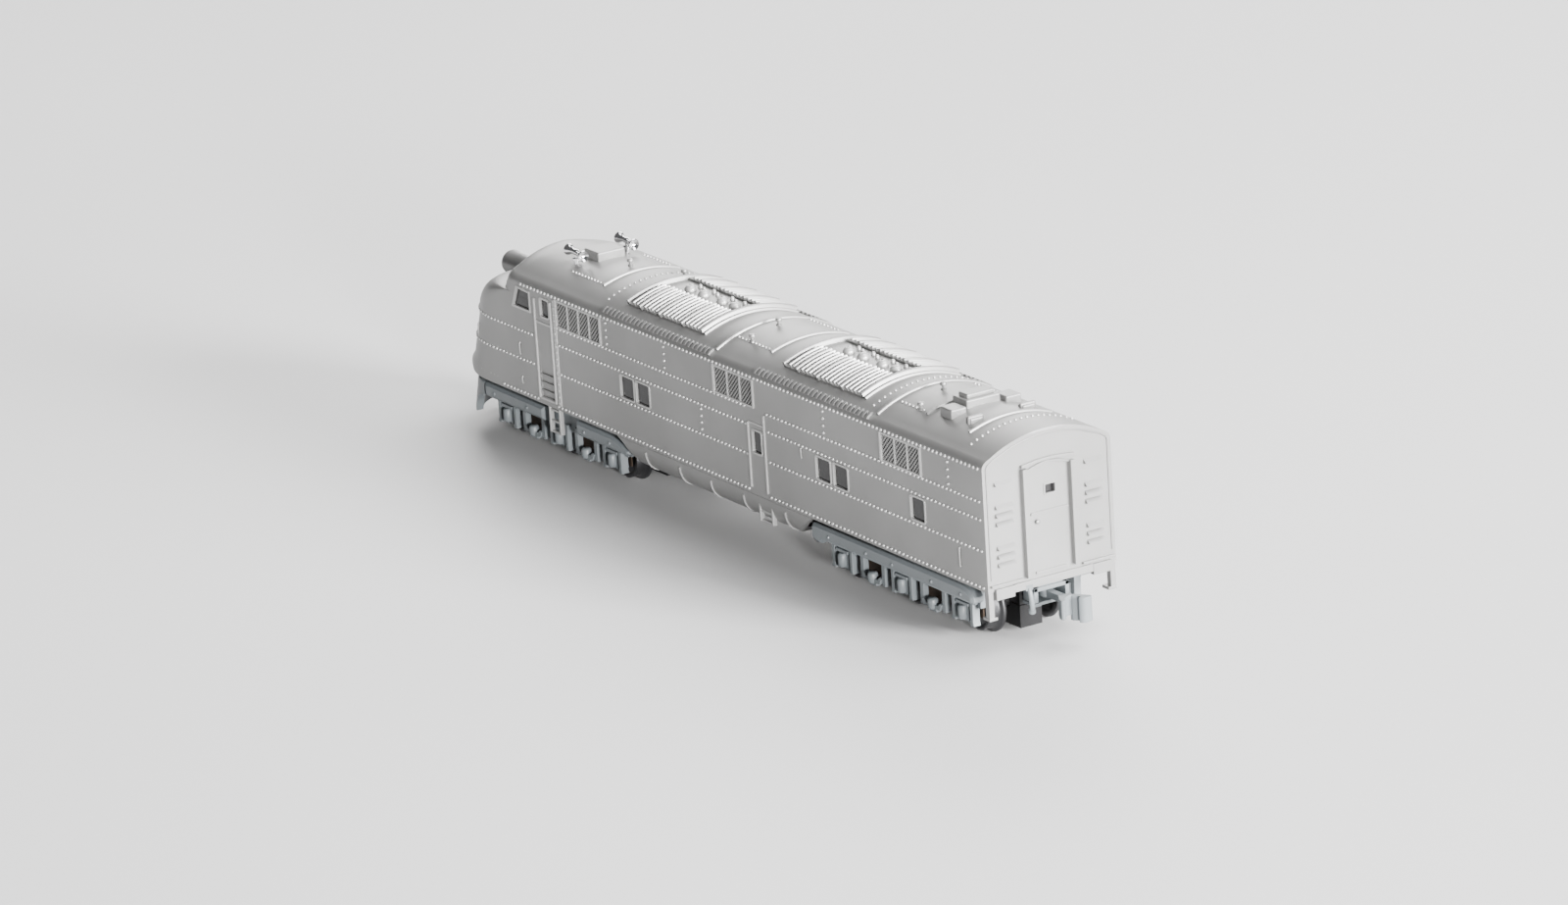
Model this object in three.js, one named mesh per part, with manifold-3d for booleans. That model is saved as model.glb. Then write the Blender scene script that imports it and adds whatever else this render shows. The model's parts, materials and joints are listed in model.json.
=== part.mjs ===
// N-gauge slant-nose passenger diesel with two three-axle trucks, built from its separate pieces.
// Millimetres. +X is the nose end, +Y the left side, +Z up; z = 0 is the lowest point of the wheel flanges.
import * as THREE from 'three';
import { mergeVertices } from 'three/addons/utils/BufferGeometryUtils.js';
import Module from 'manifold-3d';

const wasm = await Module();
wasm.setup();

// ---- driving dimensions: body ----
const HALF_WIDTH = 9.45;
const REAR_X = -62.5;
const SHELL_BOTTOM = 8.1;
const EAVE_Z = 23.7;
const ROOF_Z = 27.1;
const ROOF_RADIUS = 17.1;
const ROOF_ARC_HALF_WIDTH = 8.4;
const WALL = 0.9;
const CORNER_CHAMFER = 0.5;
const NOSE_TIP_X = 67.2;
const NOSE_RAKE = 0.34;
const NOSE_BULGE = 0.92;
const NOSE_BULGE_TOP = 10.3;
const NOSE_SHOULDER_Z = 17.5;
const NOSE_LENGTH = 10.8;
const SCREEN_BASE_Z = 21;
const SCREEN_BASE_X = 55.2;
const SCREEN_SIDE_X = 49.2;
const SCREEN_RAKE = 0.72;
const SCREEN_SIDE_RAKE = 0.5;
const BROW_Z = 25;
const BROW_X = 48.5;
const BROW_SIDE_X = 43.5;
const PLAN_POWER = 2.2;
const NOSE_TOP_POWER = 2.6;

// ---- driving dimensions: running gear ----
const TRUCK_X = 40.95;
const AXLE_PITCH = 13.4;
const AXLE_Z = 3.45;
const TREAD_R = 2.86;
const FLANGE_R = 3.45;
const BACK_Y = 3.75;
const WHEEL_Y = 5.95;
const AXLE_R = 0.75;
const PIN_R = 0.4;
const PIN_Y = 6.8;
const MODULE = 0.4;
const AXLE_TEETH = 10;
const IDLER_TEETH = 22;
const TOWER_TEETH = 18;
const IDLER_X = 7.6;
const IDLER_Z = 6.156;
const TOWER_Z = 8.654;
const GEAR_HALF = 0.6;
const GEAR_TOOTH_PART = 0.33;
const MOTOR_Z = 14.254;
const WORM_R = 2.0;
const WORM_HALF = 3.6;
const WORM_SHAFT_HALF = 7.4;
const SHAFT_R = 0.8;
const GAP = 0.1;
const PLATE_LOW = 7.0;
const PLATE_TOP = 7.4;
const SKIRT_IN = 7.7;
const SKIRT_OUT = 8.85;
const SKIRT_LOW = 5.4;
const FRAME_HALF = 7.7;
const FRAME_LOW = 8.0;
const FRAME_TOP = 20.7;

const material = (color, metalness, roughness) =>
  new THREE.MeshStandardMaterial({ color, metalness, roughness });
const SILVER = material(0xb9bab9, 0.5, 0.4);
const GREY = material(0x6e757a, 0.0, 0.6);
const GLASS = material(0x45464a, 0.0, 0.2);
const ZINC = material(0x77797c, 0.8, 0.55);
const STEEL = material(0xa8aaac, 0.95, 0.3);
const BRASS = material(0xc0974a, 0.95, 0.3);
const NYLON = material(0xe3ddcd, 0.0, 0.5);
const BOARD = material(0x2e5a3c, 0.0, 0.5);
const CHROME = material(0xe8e8ea, 1.0, 0.1);

// ---- solids ----
function solid(geometry) {
  geometry.deleteAttribute('normal');
  geometry.deleteAttribute('uv');
  const merged = mergeVertices(geometry, 1e-5);
  const vertProperties = new Float32Array(merged.attributes.position.array);
  const corners = [];
  for (let i = 0; i < merged.index.count; i += 3) {
    const [a, b, c] = [0, 1, 2].map((k) => merged.index.getX(i + k));
    if (a !== b && b !== c && c !== a) corners.push(a, b, c);
  }
  const triVerts = new Uint32Array(corners);
  return new wasm.Manifold(new wasm.Mesh({ numProp: 3, vertProperties, triVerts }));
}

const group = new THREE.Group();
group.name = 'slant_nose_diesel';

function piece(name, body, look) {
  const found = body.getMesh();
  const geometry = new THREE.BufferGeometry();
  geometry.setAttribute('position', new THREE.BufferAttribute(new Float32Array(found.vertProperties), 3));
  geometry.setIndex(new THREE.BufferAttribute(new Uint32Array(found.triVerts), 1));
  geometry.computeVertexNormals();
  const mesh = new THREE.Mesh(geometry, look);
  mesh.name = name;
  group.add(mesh);
}

const union = (...bodies) => bodies.reduce((a, b) => a.add(b));
const cut = (body, ...tools) => tools.reduce((a, b) => a.subtract(b), body);

// A block between two corners.
function block(x0, x1, y0, y1, z0, z1) {
  const geometry = new THREE.BoxGeometry(x1 - x0, y1 - y0, z1 - z0);
  geometry.translate((x0 + x1) / 2, (y0 + y1) / 2, (z0 + z1) / 2);
  return solid(geometry);
}

// A flat outline pushed along one axis; the outline is [x, z] for 'y', [y, z] for 'x', [x, y] for 'z'.
const PUSH = {
  x: new THREE.Matrix4().set(0, 0, 1, 0, 1, 0, 0, 0, 0, 1, 0, 0, 0, 0, 0, 1),
  y: new THREE.Matrix4().set(1, 0, 0, 0, 0, 0, -1, 0, 0, 1, 0, 0, 0, 0, 0, 1),
  z: new THREE.Matrix4(),
};
function prism(axis, outline, from, to) {
  const shape = new THREE.Shape(outline.map(([a, b]) => new THREE.Vector2(a, b)));
  const geometry = new THREE.ExtrudeGeometry(shape, { depth: to - from, bevelEnabled: false });
  geometry.translate(0, 0, axis === 'y' ? -to : from);
  geometry.applyMatrix4(PUSH[axis]);
  return solid(geometry);
}

// A turned part: profile of [radius, distance along axis], starting and ending on the axis.
const TURN = {
  x: new THREE.Matrix4().makeRotationZ(-Math.PI / 2),
  y: new THREE.Matrix4(),
  z: new THREE.Matrix4().makeRotationX(Math.PI / 2),
};
function turned(axis, profile, segments, x, y, z) {
  const points = profile.map(([r, a]) => new THREE.Vector2(r, a));
  const geometry = new THREE.LatheGeometry(points, segments);
  geometry.applyMatrix4(TURN[axis]);
  geometry.translate(x, y, z);
  return solid(geometry);
}
const rod = (axis, r, from, to, segments, x, y, z) =>
  turned(axis, [[0, from], [r, from], [r, to], [0, to]], segments, x, y, z);

// ---- body skin ----
// Centre-line nose position and start of the plan curve at one height of the outer skin.
function noseAt(z) {
  if (z <= NOSE_SHOULDER_Z) {
    const t = Math.min(1, (z - SHELL_BOTTOM) / (NOSE_BULGE_TOP - SHELL_BOTTOM));
    const bulge = NOSE_BULGE * Math.sin(Math.PI * Math.max(0, t));
    const plain = NOSE_TIP_X - NOSE_RAKE * (z - SHELL_BOTTOM);
    return { tip: plain + bulge, side: plain - NOSE_LENGTH };
  }
  const shoulder = NOSE_TIP_X - NOSE_RAKE * (NOSE_SHOULDER_Z - SHELL_BOTTOM);
  if (z <= SCREEN_BASE_Z) {
    const t = (z - NOSE_SHOULDER_Z) / (SCREEN_BASE_Z - NOSE_SHOULDER_Z);
    const lean = Math.pow(Math.max(0, 1 - Math.pow(t, NOSE_TOP_POWER)), 1 / NOSE_TOP_POWER);
    return {
      tip: SCREEN_BASE_X + (shoulder - SCREEN_BASE_X) * lean,
      side: SCREEN_SIDE_X + (shoulder - NOSE_LENGTH - SCREEN_SIDE_X) * lean,
    };
  }
  const tipAtBrow = SCREEN_BASE_X - SCREEN_RAKE * (BROW_Z - SCREEN_BASE_Z);
  const sideAtBrow = SCREEN_SIDE_X - SCREEN_SIDE_RAKE * (BROW_Z - SCREEN_BASE_Z);
  if (z <= BROW_Z) {
    const up = z - SCREEN_BASE_Z;
    return { tip: SCREEN_BASE_X - SCREEN_RAKE * up, side: SCREEN_SIDE_X - SCREEN_SIDE_RAKE * up };
  }
  const t = Math.min(1, (z - BROW_Z) / (ROOF_Z - BROW_Z));
  const lean = Math.sqrt(Math.max(0, 1 - t * t));
  return { tip: BROW_X + (tipAtBrow - BROW_X) * lean, side: BROW_SIDE_X + (sideAtBrow - BROW_SIDE_X) * lean };
}

// Heights and half widths of the skin rings, from the bottom edge over the eave to the crown.
function skinRings(inset, low) {
  const rings = [{ z: low, half: HALF_WIDTH - inset }];
  const side = (z) => rings.push({ z, half: HALF_WIDTH - inset });
  if (low < SHELL_BOTTOM) side(SHELL_BOTTOM);
  for (let i = 1; i <= 2; i++) side(SHELL_BOTTOM + (NOSE_BULGE_TOP - SHELL_BOTTOM) * i / 2);
  side(NOSE_SHOULDER_Z - inset);
  for (let a = 18; a <= 90; a += 18) {
    side(NOSE_SHOULDER_Z - inset + (SCREEN_BASE_Z - NOSE_SHOULDER_Z) * Math.sin(THREE.MathUtils.degToRad(a)));
  }
  side(EAVE_Z - inset);
  const centre = ROOF_Z - ROOF_RADIUS;
  const r = ROOF_RADIUS - inset;
  const startHalf = ROOF_ARC_HALF_WIDTH - inset;
  const startZ = centre + Math.sqrt(r * r - startHalf * startHalf);
  const bend = { half: HALF_WIDTH - inset, z: (EAVE_Z - inset + startZ * 2) / 3 };
  for (let i = 1; i <= 3; i++) {
    const t = i / 3;
    const u = 1 - t;
    rings.push({
      z: u * u * (EAVE_Z - inset) + 2 * u * t * bend.z + t * t * startZ,
      half: u * u * (HALF_WIDTH - inset) + 2 * u * t * bend.half + t * t * startHalf,
    });
  }
  const startAngle = Math.asin(startHalf / r);
  const steps = 5;
  for (let i = 1; i <= steps; i++) {
    const a = startAngle * (1 - i / steps);
    rings.push({ z: centre + r * Math.cos(a), half: r * Math.sin(a) });
  }
  return rings;
}

// The whole closed body volume, shrunk inwards by the inset.
function hull(inset, low) {
  const rings = skinRings(inset, low);
  const curve = 8;
  const positions = [];
  const rows = rings.map(({ z, half }) => {
    const { tip, side } = noseAt(Math.min(ROOF_Z, z + inset));
    const front = tip - inset * 1.25;
    const from = side - inset * 0.6;
    const right = [[REAR_X + inset, Math.max(0, half - CORNER_CHAMFER)]];
    right.push([REAR_X + inset + CORNER_CHAMFER, half]);
    for (let i = 0; i <= curve; i++) {
      const a = (Math.PI / 2) * (1 - i / curve);
      const along = Math.pow(Math.cos(a), 2 / PLAN_POWER);
      const across = i === curve ? 0 : Math.pow(Math.sin(a), 2 / PLAN_POWER);
      right.push([from + (front - from) * along, half * across]);
    }
    const left = right.slice(0, -1).reverse();
    const row = [...right.map(([x, y]) => [x, -y, z]), ...left.map(([x, y]) => [x, y, z])];
    return row;
  });
  const count = rows[0].length;
  rows.forEach((row) => row.forEach((point) => positions.push(...point)));
  const index = [];
  for (let k = 0; k + 1 < rows.length; k++) {
    for (let j = 0; j < count; j++) {
      const a = k * count + j;
      const b = k * count + ((j + 1) % count);
      index.push(a, b, b + count, a, b + count, a + count);
    }
  }
  const floor = THREE.ShapeUtils.triangulateShape(rows[0].map(([x, y]) => new THREE.Vector2(x, y)), []);
  floor.forEach(([a, b, c]) => index.push(a, c, b));
  const geometry = new THREE.BufferGeometry();
  geometry.setAttribute('position', new THREE.Float32BufferAttribute(positions, 3));
  geometry.setIndex(index);
  const plain = geometry.toNonIndexed();
  return solid(plain);
}

// Both left and right copies of something given as a function of the side sign.
const bothSides = (make) => union(make(1), make(-1));
// A block on one side of the centre line, given by its distances from it.
const sideBlock = (s, x0, x1, y0, y1, z0, z1) =>
  block(x0, x1, Math.min(s * y0, s * y1), Math.max(s * y0, s * y1), z0, z1);

// ---- body shell ----
const WINDOW_LOW = 13.8;
const WINDOW_TOP = 16.8;
const WINDOWS = [[18.2, 21.5], [14.4, 17.65], [-28.35, -25.1], [-32.3, -29.1], [-49.45, -46.4], [-12.45, -10.4]];
const GRILLES = [[26, 36.8], [-10.9, -2.0], [-48.9, -40.5]];
const BATTENS = [42.5, 38.4, -9.5, -13.3];
const RIBS = [[30.4, 5.8], [-1.1, 8.7], [-10.2, 5.8], [-38.2, 8.7], [-45.5, 5.8], [-55.0, 6.0]];
const HATCHES = [[4.0, 22.4], [-33.3, -15.0]];
const LAMP_Z = 21.0;
const LAMP_R = 1.55;
const LAMP_FACE_X = 64.4;
const LAMP_BORE_R = 1.2;

// A curved strip standing a little above the roof between two stations, out to a half width.
function roofStrip(x0, x1, half, rise) {
  const centre = ROOF_Z - ROOF_RADIUS;
  const outline = [];
  const steps = 6;
  for (let i = 0; i <= steps; i++) {
    const a = Math.asin(half / ROOF_RADIUS) * (2 * i / steps - 1);
    const r = ROOF_RADIUS + rise;
    outline.push([r * Math.sin(a), centre + r * Math.cos(a)]);
  }
  const sunk = centre + Math.sqrt((ROOF_RADIUS - 0.4) ** 2 - half * half);
  outline.push([half, sunk], [-half, sunk]);
  return prism('x', outline.reverse(), x0, x1);
}

let shell = cut(hull(0, SHELL_BOTTOM), hull(WALL, SHELL_BOTTOM - 1));
shell = shell.add(turned('x', [[0, 54.2], [LAMP_R, 54.2], [LAMP_R, LAMP_FACE_X], [0, LAMP_FACE_X]], 20, 0, 0, LAMP_Z));

// Cab side openings, door windows and the row of square windows.
const cabWindow = [[43.6, 20.3], [48.4, 20.3], [47.0, 23.3], [43.6, 23.1]];
const screenPane = [[0.7, 22.9], [2.0, 21.9], [7.0, 21.8], [6.6, 24.4], [0.7, 24.9]];
for (const s of [1, -1]) {
  const [near, far] = s > 0 ? [7.6, 10.5] : [-10.5, -7.6];
  shell = cut(shell, prism('y', cabWindow, near, far), block(38.7, 41.2, near, far, 20.3, 23.0));
  for (const [x0, x1] of WINDOWS) shell = cut(shell, block(x0, x1, near, far, WINDOW_LOW, WINDOW_TOP));
  for (const [x0, x1] of GRILLES) {
    shell = cut(shell, sideBlock(s, x0, x1, HALF_WIDTH - 0.2, 11, 19.9, 23.4));
  }
  shell = cut(shell, sideBlock(s, 38.7, 42.1, HALF_WIDTH - 0.15, 11, 9.0, 19.4));
  shell = cut(shell, prism('x', screenPane.map(([y, z]) => [s * y, z]), 49.3, 60));
}
shell = cut(shell, rod('x', LAMP_BORE_R, 50, 70, 20, 0, 0, LAMP_Z), block(-65, -61, -1.0, 0.5, 18.8, 20.0));

// Door battens, ladders, rear step legs, rear door and louvres.
const ladder = (s, x0, x1, low) => {
  let body = union(sideBlock(s, x0, x0 + 0.4, 8.7, 9.3, low, 8.5), sideBlock(s, x1 - 0.4, x1, 8.7, 9.3, low, 8.5));
  for (let z = low; z < 7.6; z += 1.2) body = body.add(sideBlock(s, x0, x1, 8.75, 9.25, z, z + 0.35));
  return body;
};
for (const s of [1, -1]) {
  for (const x of BATTENS) {
    const [low, top] = x > 0 ? [8.7, 22.6] : [8.7, 19.2];
    shell = shell.add(sideBlock(s, x - 0.2, x + 0.2, HALF_WIDTH - 0.4, HALF_WIDTH + 0.25, low, top));
  }
  shell = shell.add(sideBlock(s, 37.0, 37.8, HALF_WIDTH - 0.4, HALF_WIDTH + 0.15, 8.7, 23.5));
  for (let z = 9.8; z < 13; z += 1.1) {
    shell = shell.add(sideBlock(s, 38.4, 42.4, HALF_WIDTH - 0.4, HALF_WIDTH, z, z + 0.3));
  }
  shell = shell.add(ladder(s, 38.0, 40.9, 4.5));
  shell = shell.add(sideBlock(s, -62.4, -61.6, 8.6, 9.4, 4.4, 8.6));
  shell = shell.add(sideBlock(s, -62.9, -62.0, 5.8, 8.5, 7.0, 8.7));
  for (const z of [21.5, 18.5, 17.45, 16.4, 13.3, 12.3, 11.2]) {
    shell = shell.add(sideBlock(s, -62.75, -62.2, 5.3, 7.9, z - 0.15, z + 0.15));
  }
  shell = shell.add(sideBlock(s, -62.95, -62.2, 3.3, 3.75, 8.9, 23.0));
}
shell = union(shell, block(-62.9, -62.0, -5.8, 5.8, 7.5, 8.7), block(-62.95, -62.2, -3.75, 3.75, 22.6, 23.3));
shell = shell.add(block(-62.7, -62.2, -2.65, 2.65, 16.5, 16.8));

// Roof ribs, hatches with their slatted sides and fan valley, vents and the exhaust boxes.
for (const [x, half] of RIBS) shell = shell.add(roofStrip(x - 0.25, x + 0.25, half, 0.3));
for (const [x0, x1] of HATCHES) {
  shell = shell.add(cut(
    roofStrip(x0, x1, 7.0, 0.8),
    block(x0 + 0.6, x1 - 0.6, -2.0, 2.0, 27.0, 30),
  ));
  shell = shell.add(roofStrip(x0 + 0.2, x1 - 0.2, 1.95, 0.1));
}
shell = union(
  shell,
  block(37.6, 41.2, -2.1, 2.1, 26.6, 27.8),
  block(-49.4, -46.2, -2.5, 2.5, 26.6, 28.1),
  block(-48.8, -46.8, -2.0, 2.0, 28.0, 28.6),
  bothSides((s) => sideBlock(s, -50.0, -47.4, 2.9, 5.2, 26.0, 27.5)),
  bothSides((s) => sideBlock(s, -53.6, -52.2, 2.8, 4.9, 26.0, 27.4)),
);
const HORN_X = 40.2;
const HORN_Y = 3.9;
const HORN_Z = 28.4;
for (const s of [1, -1]) shell = cut(shell, rod('z', 0.4, 25.9, 28, 12, HORN_X, s * HORN_Y, 0));
piece('body_shell', shell, SILVER);

// Clear inserts behind the cab openings and behind the side windows.
const cabZone = block(37.9, 60, -12, 12, 20.05, 25.4);
const lampRoom = block(48, 60, -2.2, 2.2, 19, 22.9);
piece('cab_glazing', cut(hull(WALL + 0.05, 15).intersect(cabZone), hull(WALL + 0.6, 14), lampRoom), GLASS);
for (const [s, name] of [[1, 'left'], [-1, 'right']]) {
  piece(`side_glazing_${name}`, sideBlock(s, -50.3, 22.3, 8.05, 8.5, 13.2, 17.4), GLASS);
}
piece('rear_door_glazing', block(-61.55, -61.15, -1.6, 1.1, 18.2, 20.6), GLASS);
piece('headlight_lens', turned('x', [[0, 62.9], [1.1, 62.9], [1.1, 64.0], [0.8, 64.35], [0, 64.5]], 20, 0, 0, LAMP_Z), GLASS);
piece('light_pipe', rod('x', 0.9, 53.0, 62.8, 16, 0, 0, LAMP_Z), GLASS);

// A twin horn: a foot in the roof, a cross tube and one bell each way.
for (const [s, name] of [[1, 'left'], [-1, 'right']]) {
  const bells = turned('x', [
    [0, -2.7], [0.62, -2.7], [0.45, -1.9], [0.26, -1.2], [0.26, 1.2], [0.45, 1.9], [0.62, 2.7], [0, 2.7],
  ], 12, HORN_X, s * HORN_Y, HORN_Z);
  const foot = turned('z', [[0, 26.2], [0.33, 26.2], [0.33, HORN_Z], [0, HORN_Z]], 10, HORN_X, s * HORN_Y, 0);
  piece(`horn_${name}`, bells.add(foot), CHROME);
}

// ---- skirt tray between the trucks ----
const trayOuter = [[9.45, 8.05], [9.4, 7.0], [9.05, 5.9], [8.4, 5.1], [7.4, 4.6]];
const trayInner = [[8.55, 9], [8.5, 7.0], [8.2, 6.2], [7.7, 5.7], [7.0, 5.4]];
const mirrored = (line) => [...line, ...line.slice().reverse().map(([y, z]) => [-y, z])];
let tray = cut(prism('x', mirrored(trayOuter), -23.4, 23.4), prism('x', mirrored(trayInner), -25, 25));
tray = tray.intersect(prism('y', [[17.2, 4], [20.6, 6.4], [23.4, 8.3], [-23.4, 8.3], [-20.6, 6.4], [-17.2, 4]], -12, 12));
for (const s of [1, -1]) tray = tray.add(ladder(s, -13.9, -10.6, 4.7).intersect(block(-20, 0, -12, 12, 4, 8.05)));
for (const s of [1, -1]) tray = tray.add(sideBlock(s, -13.9, -10.6, 8.3, 8.9, 7.4, 8.0));
piece('skirt_tray', tray, SILVER);

// ---- chassis halves ----
const FLYWHEEL_R = 4.2;
const FLYWHEEL_SPAN = [11.2, 16.4];
const CAN_SPAN = [-9, 8];
const SCREW_X = 24;
const SCREW_Z = 18.4;
const frameOutline = [
  [-59.4, FRAME_LOW], [-18.2, FRAME_LOW], [-18.2, 5.6], [18.2, 5.6], [18.2, FRAME_LOW], [54, FRAME_LOW],
  [54, 16], [49, 16], [49, FRAME_TOP], [-59.4, FRAME_TOP],
];
function frameHalf(s) {
  let body = s > 0 ? prism('y', frameOutline, 0.15, FRAME_HALF) : prism('y', frameOutline, -FRAME_HALF, -0.15);
  body = cut(body, block(CAN_SPAN[0] - 1.2, CAN_SPAN[1] + 1.0, -4.95, 4.95, 9.1, 19.3));
  body = cut(body, sideBlock(s, -18.3, 18.3, 7.1, 9, 5, 6.5));
  for (const t of [1, -1]) {
    const x = t * TRUCK_X;
    body = cut(
      body,
      block(x - 14.4, x + 14.4, -4.4, 4.4, 7, 11.9),
      block(x - 18.6, x + 18.6, -5.2, 5.2, 7, 8.2),
      block(x - 7.8, x + 7.8, -3.0, 3.0, 11, 18.2),
      block(Math.min(t * 17, t * 35), Math.max(t * 17, t * 35), -1.9, 1.9, MOTOR_Z - 1.9, MOTOR_Z + 1.9),
      block(Math.min(t * 9, t * 17.4), Math.max(t * 9, t * 17.4), -4.7, 4.7, MOTOR_Z - 4.7, MOTOR_Z + 4.7),
    );
    body = cut(body, rod('y', 0.95, -9, 9, 12, t * SCREW_X, 0, SCREW_Z));
    body = cut(body, rod('y', 1.7, s > 0 ? 6.9 : -9, s > 0 ? 9 : -6.9, 16, t * SCREW_X, 0, SCREW_Z));
  }
  return body;
}
piece('frame_left', frameHalf(1), ZINC);
piece('frame_right', frameHalf(-1), ZINC);
for (const [t, name] of [[1, 'front'], [-1, 'rear']]) {
  const screw = turned('y', [[0, -7.6], [0.85, -7.6], [0.85, 7.0], [1.5, 7.0], [1.5, 7.6], [0, 7.6]], 14, t * SCREW_X, 0, SCREW_Z);
  piece(`frame_screw_${name}`, screw, STEEL);
}

// ---- motor ----
const canOutline = [[-4.3, -3.2], [-3.2, -4.4], [3.2, -4.4], [4.3, -3.2], [4.3, 3.2], [3.2, 4.4], [-3.2, 4.4], [-4.3, 3.2]];
let can = prism('x', canOutline.map(([y, z]) => [y, z + MOTOR_Z]), CAN_SPAN[0], CAN_SPAN[1]);
can = cut(can, rod('x', 3.5, CAN_SPAN[0] - 1, CAN_SPAN[1] - 0.9, 24, 0, 0, MOTOR_Z), rod('x', SHAFT_R + GAP, 0, 12, 12, 0, 0, MOTOR_Z));
piece('motor_can', can, STEEL);
piece('brush_plate', cut(
  union(
    rod('x', 3.4, -9.2, -7.9, 20, 0, 0, MOTOR_Z),
    block(-9.9, -9.1, -3.6, 3.6, MOTOR_Z - 1.4, MOTOR_Z + 1.4),
  ),
  rod('x', SHAFT_R + GAP, -12, -5, 12, 0, 0, MOTOR_Z),
), GREY);
let armature = union(
  rod('x', SHAFT_R, -18.9, 18.9, 12, 0, 0, MOTOR_Z),
  rod('x', 3.2, -4, 5.2, 20, 0, 0, MOTOR_Z),
  rod('x', 1.5, -7.4, -4.9, 12, 0, 0, MOTOR_Z),
);
for (let i = 0; i < 5; i++) {
  const a = 2 * Math.PI * i / 5 + 0.3;
  const slot = rod('x', 0.75, -4.4, 5.6, 8, 0, 2.9 * Math.cos(a), MOTOR_Z + 2.9 * Math.sin(a));
  armature = armature.subtract(slot);
}
piece('armature', armature, STEEL);
piece('motor_cradle', cut(
  block(CAN_SPAN[0], CAN_SPAN[1], -4.85, 4.85, 9.2, 18.0),
  block(-20, 20, -4.4, 4.4, 9.75, 25),
), NYLON);
for (const [t, name] of [[1, 'front'], [-1, 'rear']]) {
  const [a, b] = FLYWHEEL_SPAN;
  const wheel = turned('x', [
    [SHAFT_R + 0.03, a], [1.6, a], [1.6, a + 0.6], [FLYWHEEL_R, a + 0.6], [FLYWHEEL_R, b], [SHAFT_R + 0.03, b],
    [SHAFT_R + 0.03, a],
  ].map(([r, x]) => [r, x]), 24, 0, 0, 0);
  const placed = t > 0 ? wheel : wheel.mirror([1, 0, 0]);
  piece(`flywheel_${name}`, placed.translate([0, 0, MOTOR_Z]), BRASS);
}

// ---- drive line ----
// A straight-toothed gear of a given tooth count on a Y axis with its stub pins or with a bore.
function gear(teeth, pinR, pinHalf, boreR, x, z, phase) {
  const pitchR = MODULE * teeth / 2;
  const outline = [];
  for (let i = 0; i < teeth; i++) {
    const at = (part, r) => {
      const a = phase + 2 * Math.PI * (i + part) / teeth;
      outline.push([r * Math.cos(a), r * Math.sin(a)]);
    };
    at(-GEAR_TOOTH_PART / 2 - 0.08, pitchR - 1.15 * MODULE);
    at(-GEAR_TOOTH_PART / 2 + 0.09, pitchR + 0.9 * MODULE);
    at(GEAR_TOOTH_PART / 2 - 0.09, pitchR + 0.9 * MODULE);
    at(GEAR_TOOTH_PART / 2 + 0.08, pitchR - 1.15 * MODULE);
  }
  let body = prism('y', outline, -GEAR_HALF, GEAR_HALF);
  if (boreR) body = body.subtract(rod('y', boreR, -3, 3, 12, 0, 0, 0));
  if (pinR) body = body.add(rod('y', pinR, -pinHalf, pinHalf, 8, 0, 0, 0));
  return body.translate([x, 0, z]);
}

// A single-start worm on a shaft along X: the skin radius follows a helical ridge.
function worm(x0) {
  const pitch = Math.PI * MODULE;
  const rootR = WORM_R - 0.5;
  const around = 12;
  const stations = [];
  const steps = Math.round(2 * WORM_HALF / (pitch / 5));
  for (let i = 0; i <= steps; i++) stations.push(-WORM_HALF + 2 * WORM_HALF * i / steps);
  const ridge = (x, a) => {
    const phase = ((x / pitch - a / (2 * Math.PI) + 0.75) % 1 + 1.5) % 1 - 0.5;
    const flat = 0.07;
    const foot = 0.24;
    return THREE.MathUtils.clamp((foot - Math.abs(phase)) / (foot - flat), 0, 1);
  };
  const rows = [];
  const row = (x, radius) => {
    const points = [];
    for (let j = 0; j < around; j++) {
      const a = 2 * Math.PI * j / around;
      points.push([x, radius(a) * Math.cos(a), radius(a) * Math.sin(a)]);
    }
    rows.push(points);
  };
  row(-WORM_SHAFT_HALF, () => SHAFT_R);
  row(-WORM_HALF - 0.05, () => SHAFT_R);
  for (const x of stations) {
    const fade = Math.min(1, (WORM_HALF - Math.abs(x)) / 0.5);
    row(x, (a) => rootR + 0.9 * ridge(x, a) * fade);
  }
  row(WORM_HALF + 0.05, () => SHAFT_R);
  row(WORM_SHAFT_HALF, () => SHAFT_R);
  const positions = rows.flat(2);
  const index = [];
  for (let k = 0; k + 1 < rows.length; k++) {
    for (let j = 0; j < around; j++) {
      const a = k * around + j;
      const b = k * around + ((j + 1) % around);
      index.push(a, b, b + around, a, b + around, a + around);
    }
  }
  const last = (rows.length - 1) * around;
  for (let j = 1; j + 1 < around; j++) {
    index.push(0, j + 1, j);
    index.push(last, last + j, last + j + 1);
  }
  const geometry = new THREE.BufferGeometry();
  geometry.setAttribute('position', new THREE.Float32BufferAttribute(positions, 3));
  geometry.setIndex(index);
  return solid(geometry.toNonIndexed()).translate([x0, 0, MOTOR_Z]);
}

// A driveshaft along X with an open cup at each end.
function driveshaft(from, to) {
  const cup = 2.0;
  const cupR = 1.45;
  const bore = SHAFT_R + 0.08;
  return turned('x', [
    [0, from + cup], [bore, from + cup], [bore, from], [cupR, from], [cupR, from + cup + 0.5],
    [0.7, from + cup + 0.9], [0.7, to - cup - 0.9], [cupR, to - cup - 0.5], [cupR, to], [bore, to],
    [bore, to - cup], [0, to - cup],
  ], 14, 0, 0, MOTOR_Z);
}

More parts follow.
